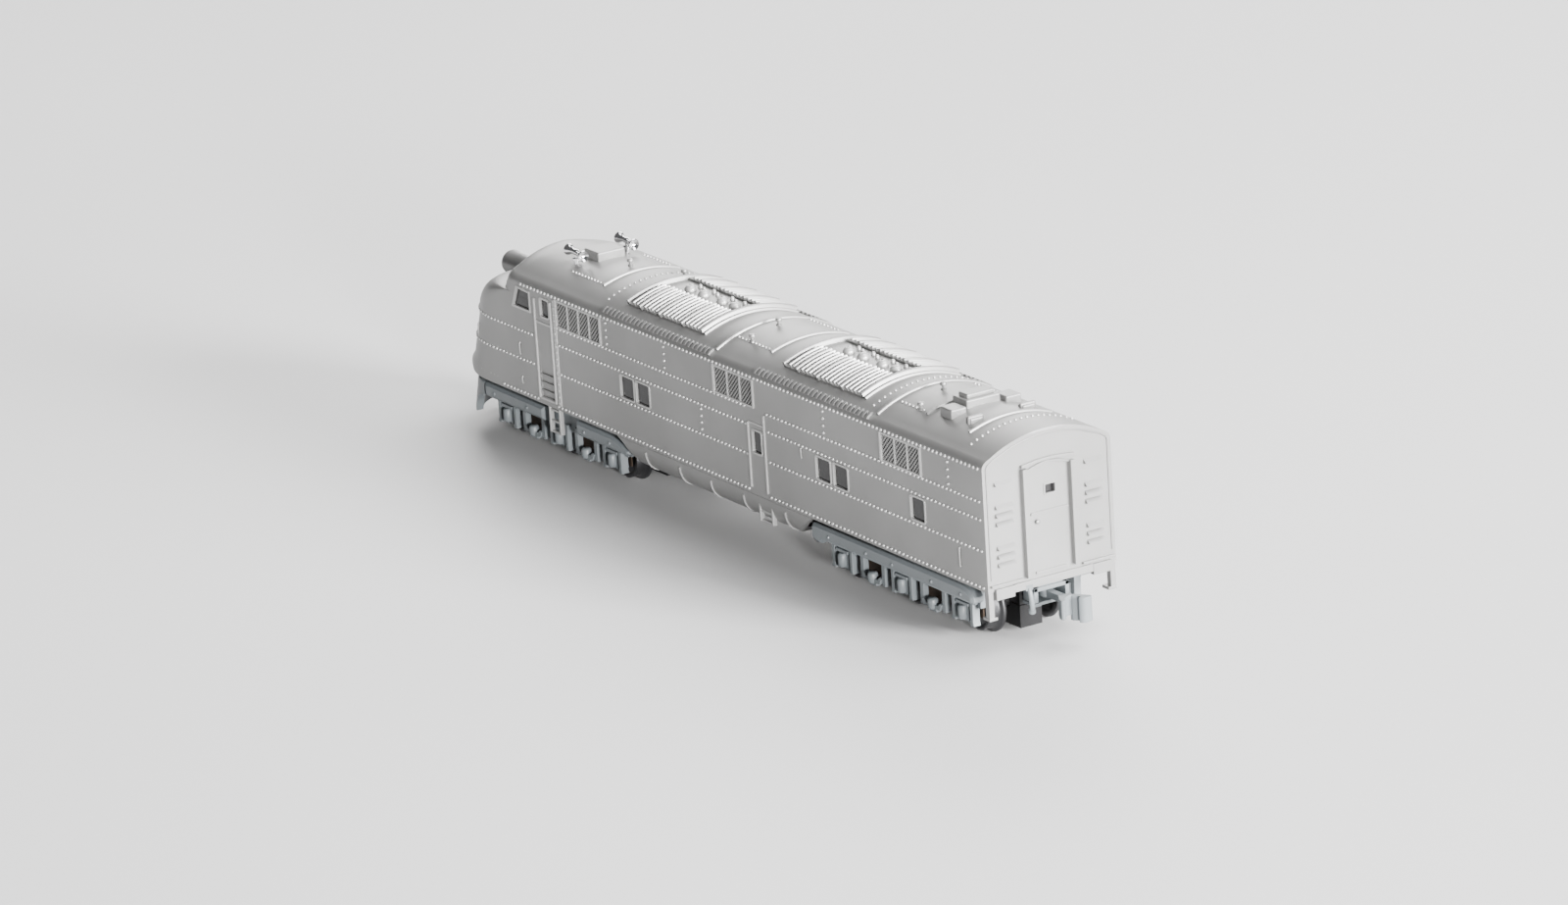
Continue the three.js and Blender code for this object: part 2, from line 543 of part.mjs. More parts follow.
for (const [t, name] of [[1, 'front'], [-1, 'rear']]) {
  const x = t * TRUCK_X;
  piece(`driveshaft_${name}`, t > 0 ? driveshaft(17.1, 34.9) : driveshaft(-34.9, -17.1), STEEL);
  piece(`worm_${name}`, worm(x), BRASS);
  const carrier = union(
    block(x - 5.8, x + 5.8, -2.7, 2.7, 16.9, 17.9),
    block(x - 5.8, x - 4.3, -2.7, 2.7, 12.3, 17.0),
    block(x + 4.3, x + 5.8, -2.7, 2.7, 12.3, 17.0),
  );
  piece(`worm_carrier_${name}`, carrier.subtract(rod('x', SHAFT_R + GAP, x - 9, x + 9, 12, 0, 0, MOTOR_Z)), NYLON);
}

// ---- trucks ----
// One wheelset on a Y axis: needle ends, flanged wheels and the axle between them.
function wheelset(x) {
  const half = [
    [0, -PIN_Y], [PIN_R, -PIN_Y + 0.2], [PIN_R, -WHEEL_Y], [TREAD_R, -WHEEL_Y], [TREAD_R + 0.05, -BACK_Y - 0.65], [FLANGE_R, -BACK_Y - 0.4], [FLANGE_R, -BACK_Y], [AXLE_R, -BACK_Y],
  ];
  const other = half.slice().reverse().map(([r, y]) => [r, -y]);
  return turned('y', [...half, ...other], 16, x, 0, AXLE_Z);
}

// Turns about the tooth contact so that teeth of two gears fall between each other.
function meshPhase(teethA, phaseA, teethB, angleAtoB) {
  const toothA = (phaseA - angleAtoB) * teethA / (2 * Math.PI);
  const away = toothA - Math.round(toothA);
  return angleAtoB + Math.PI + 2 * Math.PI * (0.5 - away) / teethB;
}

const sideFrameOutline = (x) => {
  const points = [[x - 16.6, PLATE_TOP], [x - 16.6, 4.4]];
  for (let i = -1; i <= 1; i++) {
    const axle = x + i * AXLE_PITCH;
    points.push([axle - 1.5, 4.2], [axle - 1.5, 2.4], [axle - 1.1, 2.0], [axle + 1.1, 2.0], [axle + 1.5, 2.4], [axle + 1.5, 4.2]);
    if (i < 1) {
      const seat = axle + AXLE_PITCH / 2;
      points.push([seat - 2.8, 4.0], [seat - 2.4, 2.2], [seat - 1.9, 1.7], [seat + 1.9, 1.7], [seat + 2.4, 2.2], [seat + 2.8, 4.0]);
    }
  }
  points.push([x + 16.6, 4.4], [x + 16.6, PLATE_TOP]);
  return points;
};

const SKIRTS = {
  front: [
    [[42.9, SKIRT_LOW], [58.2, SKIRT_LOW], [58.2, 7.35], [42.9, 7.35]],
    [[21.5, 5.7], [22.2, SKIRT_LOW], [34.6, SKIRT_LOW], [34.6, 7.35], [26.0, 7.35], [21.5, 6.35]],
  ],
  rear: [
    [[-58.3, 5.7], [-57.9, SKIRT_LOW], [-24.9, SKIRT_LOW], [-24.4, 4.9], [-22.9, 4.9], [-22.2, 5.5], [-22.2, 6.9],
      [-22.9, 7.4], [-55.8, 7.4], [-58.3, 6.4]],
  ],
};

for (const [t, name] of [[1, 'front'], [-1, 'rear']]) {
  const x = t * TRUCK_X;
  let frame = cut(
    block(x - 17.4, x + 17.4, -SKIRT_IN, SKIRT_IN, PLATE_LOW, PLATE_TOP),
    block(x - 16.5, x + 16.5, -1.75, 1.75, 6, 9),
  );
  for (const s of [1, -1]) {
    const [near, far] = s > 0 ? [6.45, SKIRT_IN + 0.1] : [-SKIRT_IN - 0.1, -6.45];
    frame = frame.add(prism('y', sideFrameOutline(x), near, far));
    const [inner, outer] = s > 0 ? [SKIRT_IN - 0.3, SKIRT_OUT] : [-SKIRT_OUT, -SKIRT_IN + 0.3];
    for (const outline of SKIRTS[name]) frame = frame.add(prism('y', outline, inner, outer));
    frame = frame.add(sideBlock(s, x - 2, x + 2, 5.2, 6.0, PLATE_TOP - 0.1, FRAME_LOW - 0.05));
    frame = frame.subtract(sideBlock(s, x - 3.8, x + 3.8, 6.0, 6.4, PLATE_LOW - 1, FRAME_LOW));
    for (let i = -1; i <= 1; i++) {
      const axle = x + i * AXLE_PITCH;
      frame = frame.add(sideBlock(s, axle - 1.0, axle + 1.0, SKIRT_IN, 8.2, 2.5, 4.4));
      frame = frame.subtract(rod('y', PIN_R + 0.15, s > 0 ? 6 : -7.0, s > 0 ? 7.0 : -6, 8, axle, 0, AXLE_Z));
    }
  }
  piece(`truck_frame_${name}`, frame, GREY);

  for (const [s, side] of [[1, 'left'], [-1, 'right']]) {
    let strip = union(
      sideBlock(s, x - 15.4, x + 15.4, 6.1, 6.3, 2.6, 6.6),
      sideBlock(s, x - 3.6, x + 3.6, 6.1, 6.3, 6.5, FRAME_LOW - 0.05),
    );
    for (let i = -1; i <= 1; i++) {
      strip = strip.subtract(rod('y', PIN_R + 0.15, -9, 9, 8, x + i * AXLE_PITCH, 0, AXLE_Z));
    }
    piece(`contact_${name}_${side}`, strip, BRASS);
  }

  // Gear housing: an upper part over the gears and a lower tray that closes it under the axles.
  const upper = [[-16.4, 3.5], [16.4, 3.5], [16.4, 6.9], [12.9, 6.9], [12.9, 11.5], [-12.9, 11.5], [-12.9, 6.9], [-16.4, 6.9]];
  const room = [[-15.95, 3], [15.95, 3], [15.95, 6.4], [12.5, 6.4], [12.5, 11.1], [-12.5, 11.1], [-12.5, 6.4], [-15.95, 6.4]];
  const shifted = (line) => line.map(([a, z]) => [a + x, z]);
  let housing = cut(prism('y', shifted(upper), -1.6, 1.6), prism('y', shifted(room), -0.9, 0.9));
  housing = cut(housing, block(x - 4.3, x + 4.3, -0.9, 0.9, 9, 14));
  let lid = cut(block(x - 16.4, x + 16.4, -1.6, 1.6, 0.5, 3.4), block(x - 15.95, x + 15.95, -0.9, 0.9, 0.8, 4));
  for (let i = -1; i <= 1; i++) {
    const hole = rod('y', AXLE_R + 0.15, -3, 3, 10, x + i * AXLE_PITCH, 0, AXLE_Z);
    housing = housing.subtract(hole);
    lid = lid.subtract(hole);
  }
  for (const [gx, gz] of [[-IDLER_X, IDLER_Z], [0, TOWER_Z], [IDLER_X, IDLER_Z]]) {
    housing = housing.subtract(rod('y', 0.7, -3, 3, 8, x + gx, 0, gz));
  }
  piece(`gear_housing_${name}`, housing, NYLON);
  piece(`gear_lid_${name}`, lid, NYLON);

  const towerPhase = Math.PI / 2 + Math.PI / TOWER_TEETH;
  piece(`tower_gear_${name}`, gear(TOWER_TEETH, 0.6, 1.5, 0, x, TOWER_Z, towerPhase), BRASS);
  for (const [dx, tag] of [[IDLER_X, 'a'], [-IDLER_X, 'b']]) {
    const toIdler = Math.atan2(IDLER_Z - TOWER_Z, dx);
    const idlerPhase = meshPhase(TOWER_TEETH, towerPhase, IDLER_TEETH, toIdler);
    piece(`idler_${name}_${tag}`, gear(IDLER_TEETH, 0.6, 1.5, 0, x + dx, IDLER_Z, idlerPhase), NYLON);
    const outer = Math.sign(dx) * AXLE_PITCH;
    const toAxle = Math.atan2(AXLE_Z - IDLER_Z, outer - dx);
    const axlePhase = meshPhase(IDLER_TEETH, idlerPhase, AXLE_TEETH, toAxle);
    piece(`axle_gear_${name}_${tag}`, gear(AXLE_TEETH, 0, 0, AXLE_R + 0.05, x + outer, AXLE_Z, axlePhase), NYLON);
  }
  for (let i = 1; i <= 3; i++) piece(`wheelset_${name}_${i}`, wheelset(x + (2 - i) * AXLE_PITCH), STEEL);
}

// ---- pilot on the front truck ----
// Plan curve of the pilot wall at one height, kept inside the nose above it.
function pilotRing(z, inset) {
  const flare = (7.3 - z) * 0.27;
  const front = 66.3 + flare - inset;
  const from = 56.0 + flare - inset * 0.4;
  const half = 9.1 - inset;
  const points = [];
  const steps = 14;
  for (let i = 0; i <= steps; i++) {
    const a = Math.PI * (i / steps - 0.5);
    const across = Math.sign(Math.sin(a)) * Math.pow(Math.abs(Math.sin(a)), 2 / PLAN_POWER);
    points.push([from + (front - from) * Math.pow(Math.max(0, Math.cos(a)), 2 / PLAN_POWER), half * across]);
  }
  return [[50, -half], ...points, [50, half]];
}
function pilotVolume(inset, low, high) {
  const steps = 3;
  const positions = [];
  const index = [];
  const rows = [];
  for (let k = 0; k <= steps; k++) {
    const z = low + (high - low) * k / steps;
    rows.push(pilotRing(z, inset).map(([x, y]) => [x, y, z]));
  }
  const count = rows[0].length;
  rows.forEach((row) => row.forEach((point) => positions.push(...point)));
  for (let k = 0; k < steps; k++) {
    for (let j = 0; j < count; j++) {
      const a = k * count + j;
      const b = k * count + ((j + 1) % count);
      index.push(a, b, b + count, a, b + count, a + count);
    }
  }
  const cap = THREE.ShapeUtils.triangulateShape(rows[0].map(([x, y]) => new THREE.Vector2(x, y)), []);
  const top = steps * count;
  cap.forEach(([a, b, c]) => index.push(a, c, b, top + a, top + b, top + c));
  const geometry = new THREE.BufferGeometry();
  geometry.setAttribute('position', new THREE.Float32BufferAttribute(positions, 3));
  geometry.setIndex(index);
  return solid(geometry.toNonIndexed());
}
let pilot = cut(pilotVolume(0, 2.1, 7.3), pilotVolume(0.9, 1, 8)).add(
  pilotVolume(0.2, 6.5, 7.2).subtract(block(40, 59.2, -12, 12, 0, 9)),
);
pilot = pilot.intersect(prism('y', [[58.5, SKIRT_LOW], [60.2, 5.2], [61.8, 4.2], [62.6, 2.0], [69, 2.0], [69, 8], [58.5, 8]], -12, 12));
pilot = pilot.subtract(block(57, 59.3, -7.6, 7.6, 0, 9));
piece('front_pilot', pilot, GREY);

// ---- rear coupler ----
const COUPLER_PIVOT_X = -60.9;
const TIP_X = -67.75;
const pocket = cut(
  union(block(-62.2, -59.5, -2.6, 2.6, 5.1, 7.0), block(-61.9, -59.5, -1.8, 1.8, 6.9, FRAME_LOW - 0.05)),
  block(-63, -59.9, -2.0, 2.0, 5.0, 6.5),
);
piece('coupler_pocket', pocket.add(rod('z', 0.45, 5.1, 6.6, 12, COUPLER_PIVOT_X, 0, 0)), GREY);
piece('coupler_lid', cut(
  block(-62.2, -59.5, -2.6, 2.6, 4.6, 5.05),
  block(-62.3, -61.9, -1.6, 1.6, 4.5, 5.2),
), GREY);
let coupler = union(
  rod('z', 0.85, 5.3, 6.3, 16, COUPLER_PIVOT_X, 0, 0),
  block(-65.2, -61.0, -0.55, 0.55, 5.3, 6.3),
  prism('z', [[-65.0, -0.9], [-65.0, 1.0], [-66.9, 1.9], [-67.2, 1.5], [-66.1, 0.6], [-66.0, -0.5]], 4.0, 6.6),
  prism('z', [[-65.6, -0.9], [TIP_X + 0.3, -2.3], [TIP_X, -2.0], [TIP_X, -0.9], [-67.2, -0.4], [-66.9, -1.0], [-66.0, -0.3]], 3.2, 6.6),
);
coupler = coupler.subtract(rod('z', 0.55, 4, 8, 14, COUPLER_PIVOT_X, 0, 0));
piece('rear_coupler', coupler, GREY);

// ---- lights and electrics ----
const board = union(
  block(-30, 49.6, -5.4, 5.4, FRAME_TOP + 0.1, FRAME_TOP + 0.7),
  block(30, 33, -2.2, 2.2, FRAME_TOP + 0.6, FRAME_TOP + 1.9),
  block(-24, -21, -1.6, 1.6, FRAME_TOP + 0.6, FRAME_TOP + 1.5),
  block(4, 9, -2.5, 2.5, FRAME_TOP + 0.6, FRAME_TOP + 1.7),
);
piece('circuit_board', board, BOARD);
piece('headlight_led', union(
  block(49.8, 51.6, -1.5, 1.5, 19.9, 22.1),
  turned('x', [[0, 51.5], [1.1, 51.5], [1.1, 52.2], [0.8, 52.6], [0, 52.7]], 14, 0, 0, LAMP_Z),
), GLASS);

export default group;
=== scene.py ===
import json
import math
import bpy
import bmesh
from mathutils import Matrix, Vector


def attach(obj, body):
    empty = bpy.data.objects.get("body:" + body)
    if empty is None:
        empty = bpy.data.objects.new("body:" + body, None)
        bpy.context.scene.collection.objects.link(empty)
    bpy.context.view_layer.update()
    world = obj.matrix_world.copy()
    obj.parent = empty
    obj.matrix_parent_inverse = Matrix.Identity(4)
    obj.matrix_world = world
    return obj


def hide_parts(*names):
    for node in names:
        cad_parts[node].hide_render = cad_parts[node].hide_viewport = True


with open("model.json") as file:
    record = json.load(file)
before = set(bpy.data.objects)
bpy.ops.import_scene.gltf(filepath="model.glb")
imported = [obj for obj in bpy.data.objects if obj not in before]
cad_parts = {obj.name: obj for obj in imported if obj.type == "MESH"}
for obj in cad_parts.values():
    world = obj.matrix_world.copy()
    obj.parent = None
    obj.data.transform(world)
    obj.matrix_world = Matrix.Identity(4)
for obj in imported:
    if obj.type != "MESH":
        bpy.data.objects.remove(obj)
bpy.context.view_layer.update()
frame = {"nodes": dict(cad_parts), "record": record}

# ---- Camera, floor and light ----
# The model stands on its flanges on a pale table under soft studio light from behind and above.
# The camera is a long lens, looking down along the model from behind its left rear corner.
MM = 0.001
VIEW_FROM = Vector((-0.7815, 0.4805, 0.3014))
VIEW_ALONG = Vector((0.8110, -0.5001, -0.3036)).normalized()
VIEW_TILT = math.radians(3.6)
level_right = VIEW_ALONG.cross(Vector((0, 0, 1))).normalized()
level_up = level_right.cross(VIEW_ALONG)
right = level_right * math.cos(VIEW_TILT) - level_up * math.sin(VIEW_TILT)
up = right.cross(VIEW_ALONG)

def in_scene(name, data):
    """A new object in the scene."""
    thing = bpy.data.objects.new(name, data)
    bpy.context.scene.collection.objects.link(thing)
    return thing

optics = bpy.data.cameras.new("camera")
optics.lens, optics.sensor_width = 172.56, 36.0
optics.clip_start, optics.clip_end = 0.01, 20.0
camera = in_scene("camera", optics)
camera.matrix_world = Matrix((
    (right.x, up.x, -VIEW_ALONG.x, VIEW_FROM.x),
    (right.y, up.y, -VIEW_ALONG.y, VIEW_FROM.y),
    (right.z, up.z, -VIEW_ALONG.z, VIEW_FROM.z),
    (0, 0, 0, 1)))
bpy.context.scene.camera = camera

def soft_box(name, place, aim, size, watts, colour):
    """A rectangular area light turned towards a point."""
    light = bpy.data.lights.new(name, 'AREA')
    light.shape = 'RECTANGLE'
    light.size, light.size_y = size
    light.energy = watts
    light.color = colour
    lamp = in_scene(name, light)
    lamp.location = place
    lamp.rotation_euler = (Vector(aim) - Vector(place)).to_track_quat('-Z', 'Y').to_euler()

soft_box("top_light", (-0.2, -0.5, 1.15), (0, 0, 0), (1.2, 0.9), 36.0, (1.0, 1.0, 1.0))
soft_box("back_light", (1.0, -0.7, 0.5), (0, 0, 0.02), (0.8, 0.5), 12.0, (1.0, 0.99, 0.98))
soft_box("rear_left_light", (-1.2, 0.36, 0.2), (-0.03, 0, 0.02), (0.16, 0.2), 38.0, (1.0, 0.995, 0.99))
soft_box("rear_right_light", (-1.2, -0.4, 0.34), (-0.03, 0, 0.02), (0.4, 0.4), 95.0, (1.0, 0.995, 0.99))
world = bpy.data.worlds.new("studio")
world.use_nodes = True
sky = world.node_tree.nodes["Background"].inputs
sky["Color"].default_value, sky["Strength"].default_value = (0.86, 0.86, 0.87, 1), 0.14
bpy.context.scene.world = world

def surface(name, colours, metallic, roughness, grain, grain_depth, patch=40.0, spread=0.06, coat=0.0):
    """A painted, moulded or metal finish: two close tones in soft patches, and a fine grain."""
    material = bpy.data.materials.new(name)
    material.use_nodes = True
    nodes, links = material.node_tree.nodes, material.node_tree.links

    def node(kind, values):
        made = nodes.new("ShaderNode" + kind)
        for key, value in values.items():
            made.inputs[key].default_value = value
        return made

    shader = nodes["Principled BSDF"]
    shader.inputs["Metallic"].default_value = metallic
    shader.inputs["Coat Weight"].default_value = coat
    place = node("TexCoord", {}).outputs["Object"]
    clouds = node("TexNoise", {"Scale": patch, "Detail": 4.0})
    fine = node("TexNoise", {"Scale": grain, "Detail": 3.0})
    ramp = node("ValToRGB", {})
    for end, position, colour in zip(ramp.color_ramp.elements, (0.35, 0.65), colours):
        end.position, end.color = position, (*colour, 1)
    gloss = node("MapRange", {"To Min": roughness - spread, "To Max": roughness + spread})
    bump = node("Bump", {"Strength": 0.35, "Distance": grain_depth})
    for source, target in ((place, clouds.inputs["Vector"]), (place, fine.inputs["Vector"]),
                           (clouds.outputs["Fac"], ramp.inputs["Fac"]),
                           (ramp.outputs["Color"], shader.inputs["Base Color"]),
                           (fine.outputs["Fac"], gloss.inputs["Value"]),
                           (gloss.outputs["Result"], shader.inputs["Roughness"]),
                           (fine.outputs["Fac"], bump.inputs["Height"]),
                           (bump.outputs["Normal"], shader.inputs["Normal"])):
        links.new(source, target)
    return material

floor_mesh = bpy.data.meshes.new("table_top")
floor_mesh.from_pydata([(-6, -6, 0), (6, -6, 0), (6, 6, 0), (-6, 6, 0)], [], [(0, 1, 2, 3)])
floor = in_scene("table_top", floor_mesh)
table_white = surface("table_white", ((0.50, 0.50, 0.502), (0.53, 0.53, 0.532)), 0.0, 0.55, 900, 0.00001, 3.0)
floor_mesh.materials.append(table_white)

# ---- Body skin ----
# One thin plastic moulding, sprayed satin silver: straight sides, a low arched roof and a nose
# that rakes back from the pilot. Windows and the lamp bore are open through its wall.
HALF_WIDTH = 9.45
REAR_X = -62.5
SHELL_BOTTOM = 8.1
EAVE_Z = 23.7
ROOF_Z = 27.1
ROOF_RADIUS = 17.1
ROOF_CENTRE = ROOF_Z - ROOF_RADIUS
ROOF_ARC_HALF_WIDTH = 8.4
WALL = 0.9
NOSE_TIP_X = 67.2
NOSE_RAKE = 0.34
NOSE_BULGE = 0.89
NOSE_BULGE_TOP = 10.3
NOSE_SHOULDER_Z = 16.4
NOSE_LENGTH = 10.8
NOSE_TOP_POWER = 2.15
SCREEN_BASE_Z = 22.2
SCREEN_BASE_X = 54.4
SCREEN_SIDE_X = 48.6
SCREEN_RAKE, SCREEN_SIDE_RAKE = 0.72, 0.5
BROW_Z = 25.0
ROOF_FRONT_X, ROOF_SIDE_X = 48.5, 43.5
EAVE_DROP, EAVE_HEIGHT = 0.8, 1.2
PLAN_POWER = 2.2

def nose_at(z):
    """Centre-line front and start of the plan curve at one height of the skin."""
    if z <= NOSE_SHOULDER_Z:
        t = min(1.0, max(0.0, (z - SHELL_BOTTOM) / (NOSE_BULGE_TOP - SHELL_BOTTOM)))
        plain = NOSE_TIP_X - NOSE_RAKE * (z - SHELL_BOTTOM)
        return plain + NOSE_BULGE * math.sin(math.pi * t), plain - NOSE_LENGTH
    shoulder = NOSE_TIP_X - NOSE_RAKE * (NOSE_SHOULDER_Z - SHELL_BOTTOM)
    if z <= SCREEN_BASE_Z:
        t = (z - NOSE_SHOULDER_Z) / (SCREEN_BASE_Z - NOSE_SHOULDER_Z)
        lean = max(0.0, 1 - t ** NOSE_TOP_POWER) ** (1 / NOSE_TOP_POWER)
        return (SCREEN_BASE_X + (shoulder - SCREEN_BASE_X) * lean,
                SCREEN_SIDE_X + (shoulder - NOSE_LENGTH - SCREEN_SIDE_X) * lean)
    rise = min(z, BROW_Z) - SCREEN_BASE_Z
    front, side = SCREEN_BASE_X - SCREEN_RAKE * rise, SCREEN_SIDE_X - SCREEN_SIDE_RAKE * rise
    if z <= BROW_Z:
        return front, side
    t = min(1.0, (z - BROW_Z) / (ROOF_Z - BROW_Z))
    lean = math.sqrt(max(0.0, 1 - t * t))
    return ROOF_FRONT_X + (front - ROOF_FRONT_X) * lean, ROOF_SIDE_X + (side - ROOF_SIDE_X) * lean

def half_at(z):
    """Half width of the straight part of the body at one height."""
    if z <= EAVE_Z:
        return HALF_WIDTH
    rise = z - ROOF_CENTRE
    if rise >= ROOF_RADIUS:
        return 0.0
    arc = math.sqrt(ROOF_RADIUS ** 2 - rise ** 2)
    return min(arc, HALF_WIDTH - EAVE_DROP * ((z - EAVE_Z) / EAVE_HEIGHT) ** 2)

def skin_y(x, z):
    """Half width of the skin at a station and height, zero ahead of the nose."""
    front, side = nose_at(z)
    if x <= side:
        return half_at(z)
    t = (x - side) / (front - side)
    return 0.0 if t >= 1 else half_at(z) * (1 - t ** PLAN_POWER) ** (1 / PLAN_POWER)

def roof_z(y):
    """Height of the roof at one distance from the centre line."""
    return ROOF_CENTRE + math.sqrt(ROOF_RADIUS ** 2 - y * y)

def eave_curve(t, low_z, wide, start_z, start_half):
    """One (z, y) point of the curve that joins the side wall to the roof."""
    u, bend_z = 1 - t, (low_z + start_z * 2) / 3
    return (u * u * low_z + 2 * u * t * bend_z + t * t * start_z,
            u * u * wide + 2 * u * t * wide + t * t * start_half)

def plan_curve(steps, front, side, half):
    """The (x, y) points of a nose in plan, from its widest point round to the centre line."""
    power, angles = 2 / PLAN_POWER, [math.pi / 2 * (1 - i / steps) for i in range(steps + 1)]
    return [(side + (front - side) * max(0.0, math.cos(a)) ** power, half * math.sin(a) ** power) for a in angles]

def both_sides(edge_line, z):
    """A level ring from one side's outline and its mirror image."""
    return [(x, -y, z) for x, y in edge_line] + [(x, y, z) for x, y in reversed(edge_line[:-1])]

def skin_rings(inset, low):
    """The (height, half width) of each level of the body volume, from the bottom to the ridge."""
    levels = [low, SHELL_BOTTOM + 0.02]
    levels += [SHELL_BOTTOM + (NOSE_BULGE_TOP - SHELL_BOTTOM) * i / 8 for i in range(1, 9)]
    levels += [12.5, 15.0, NOSE_SHOULDER_Z - inset]
    levels += [NOSE_SHOULDER_Z - inset + (SCREEN_BASE_Z - NOSE_SHOULDER_Z) * math.sin(math.radians(a))
               for a in range(7, 91, 7)] + [SCREEN_BASE_Z - inset + 0.02]
    levels += [SCREEN_BASE_Z - inset, EAVE_Z - inset - 0.25]
    rings = [(z, HALF_WIDTH - inset) for z in sorted(set(levels))]
    radius = ROOF_RADIUS - inset
    start_half = ROOF_ARC_HALF_WIDTH - inset
    start_z = ROOF_CENTRE + math.sqrt(radius ** 2 - start_half ** 2)
    rings += [eave_curve(i / 8, EAVE_Z - inset, HALF_WIDTH - inset, start_z, start_half) for i in range(9)]
    start = math.asin(start_half / radius)
    for i in range(1, 17):
        a = start * (1 - i / 16)
        rings.append((ROOF_CENTRE + radius * math.cos(a), radius * math.sin(a)))
    return rings

def hull(name, inset, low):
    """The closed body volume, shrunk inwards by the inset."""
    rows = []
    for z, half in skin_rings(inset, low):
        front, side = nose_at(min(ROOF_Z, z + inset))
        front, side = front - inset * 1.25, side - inset * 0.6
        rear = [(REAR_X + inset, half), (REAR_X + inset + 1.2, half)]
        rows.append(both_sides(rear + plan_curve(28, front, side, half), z))
    count = len(rows[0])
    shape = bmesh.new()
    points = [[shape.verts.new([c * MM for c in p]) for p in row] for row in rows]
    for a, b in zip(points, points[1:]):
        for j in range(count):
            k = (j + 1) % count
            shape.faces.new((a[j], a[k], b[k], b[j]))
    shape.faces.new(list(reversed(points[0])))
    bmesh.ops.remove_doubles(shape, verts=shape.verts, dist=1e-7)
    bmesh.ops.dissolve_degenerate(shape, edges=shape.edges, dist=1e-7)
    bmesh.ops.recalc_face_normals(shape, faces=shape.faces)
    mesh = bpy.data.meshes.new(name)
    shape.to_mesh(mesh)
    shape.free()
    return in_scene(name, mesh)

# Puts a pair and a distance along one axis together as a point.
PLACE = {'x': lambda p, d: (d, p[0], p[1]), 'y': lambda p, d: (p[0], d, p[1]), 'z': lambda p, d: (p[0], p[1], d)}

def signed_area(outline):
    """Twice the area of an outline, positive when it turns to the left."""
    return sum(p[0] * q[1] - q[0] * p[1] for p, q in zip(outline, outline[1:] + outline[:1]))

def round_edges(thing, width, segments, angle):
    """Rounds the edges sharper than an angle; the width is in millimetres."""
    step = thing.modifiers.new("rounding", 'BEVEL')
    step.width, step.segments = width * MM, segments
    step.limit_method, step.angle_limit = 'ANGLE', math.radians(angle)
    return step

class Shape:
    """Gathers blocks, pushed outlines, turned parts and tubes, in millimetres, into one mesh."""
    def __init__(self):
        self.verts, self.faces = [], []

    def add(self, verts, faces):
        base = len(self.verts)
        self.verts += verts
        self.faces += [tuple(base + i for i in face) for face in faces]
        return self

    def block(self, x0, x1, y0, y1, z0, z1):
        x0, x1 = sorted((x0, x1))
        y0, y1 = sorted((y0, y1))
        return self.add([(x, y, z) for z in (z0, z1) for y in (y0, y1) for x in (x0, x1)],
                        [(0, 2, 3, 1), (4, 5, 7, 6), (0, 1, 5, 4), (2, 6, 7, 3), (0, 4, 6, 2), (1, 3, 7, 5)])

    def push(self, axis, outline, a, b):
        """An outline pushed along one axis; pairs are (x, z) for 'y', (y, z) for 'x', (x, y) for 'z'."""
        a, b = sorted((a, b))
        if (signed_area(outline) < 0) != (axis == 'y'):
            outline = outline[::-1]
        put, n = PLACE[axis], len(outline)
        faces = [tuple(reversed(range(n))), tuple(range(n, 2 * n))]
        faces += [(i, (i + 1) % n, n + (i + 1) % n, n + i) for i in range(n)]
        return self.add([put(p, a) for p in outline] + [put(p, b) for p in outline], faces)

    def turn(self, axis, profile, segments, centre):
        """A turned part; the profile is (radius, distance), from one end of the axis to the other."""
        verts, rows = [], []
        closed = profile[0] == profile[-1]
        for r, d in profile[:-1] if closed else profile:
            row = []
            for j in range(segments if r > 1e-6 else 1):
                a = 2 * math.pi * j / segments
                u, v = r * math.cos(a), r * math.sin(a)
                point = PLACE[axis]((v, u) if axis == 'y' else (u, v), d)
                verts.append(tuple(c + p for c, p in zip(centre, point)))
                row.append(len(verts) - 1)
            rows.append(row)
        faces = []
        for p, q in zip(rows, rows[1:] + rows[:1] if closed else rows[1:]):
            for j in range(segments):
                k = (j + 1) % segments
                corners = (p[j % len(p)], p[k % len(p)], q[k % len(q)], q[j % len(q)])
                faces.append(tuple(dict.fromkeys(corners)))
        return self.add(verts, [face for face in faces if len(face) > 2])

    def tube(self, path, radius, sides=8):
        """A round wire through a list of points, closed at both ends."""
        points = [Vector(p) for p in path]
        verts, faces = [], []
        guide = Vector((0.31, 0.52, 0.8))
        for i, p in enumerate(points):
            along = (points[min(i + 1, len(points) - 1)] - points[max(i - 1, 0)]).normalized()
            u = along.cross(guide).normalized()
            v = along.cross(u)
            for j in range(sides):
                a = 2 * math.pi * j / sides
                verts.append(tuple(p + (u * math.cos(a) + v * math.sin(a)) * radius))
        for i in range(len(points) - 1):
            for j in range(sides):
                a, b = i * sides + j, i * sides + (j + 1) % sides
                faces.append((a, b, b + sides, a + sides))
        faces.append(tuple(reversed(range(sides))))
        faces.append(tuple(range((len(points) - 1) * sides, len(points) * sides)))
        return self.add(verts, faces)

    def make(self, name, material, body, soften=0.0, steps=2, sharp=35):
        """Closes the mesh, rounds its edges and lets it ride on a body."""
        mesh = bpy.data.meshes.new(name)
        mesh.from_pydata([tuple(c * MM for c in v) for v in self.verts], [], self.faces)
        mesh.materials.append(material)
        mesh.polygons.foreach_set("use_smooth", [True] * len(mesh.polygons))
        mesh.set_sharp_from_angle(angle=math.radians(sharp))
        thing = in_scene(name, mesh)
        if soften:
            round_edges(thing, soften, steps, 40).harden_normals = True
        if body:
            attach(thing, body)
        return thing

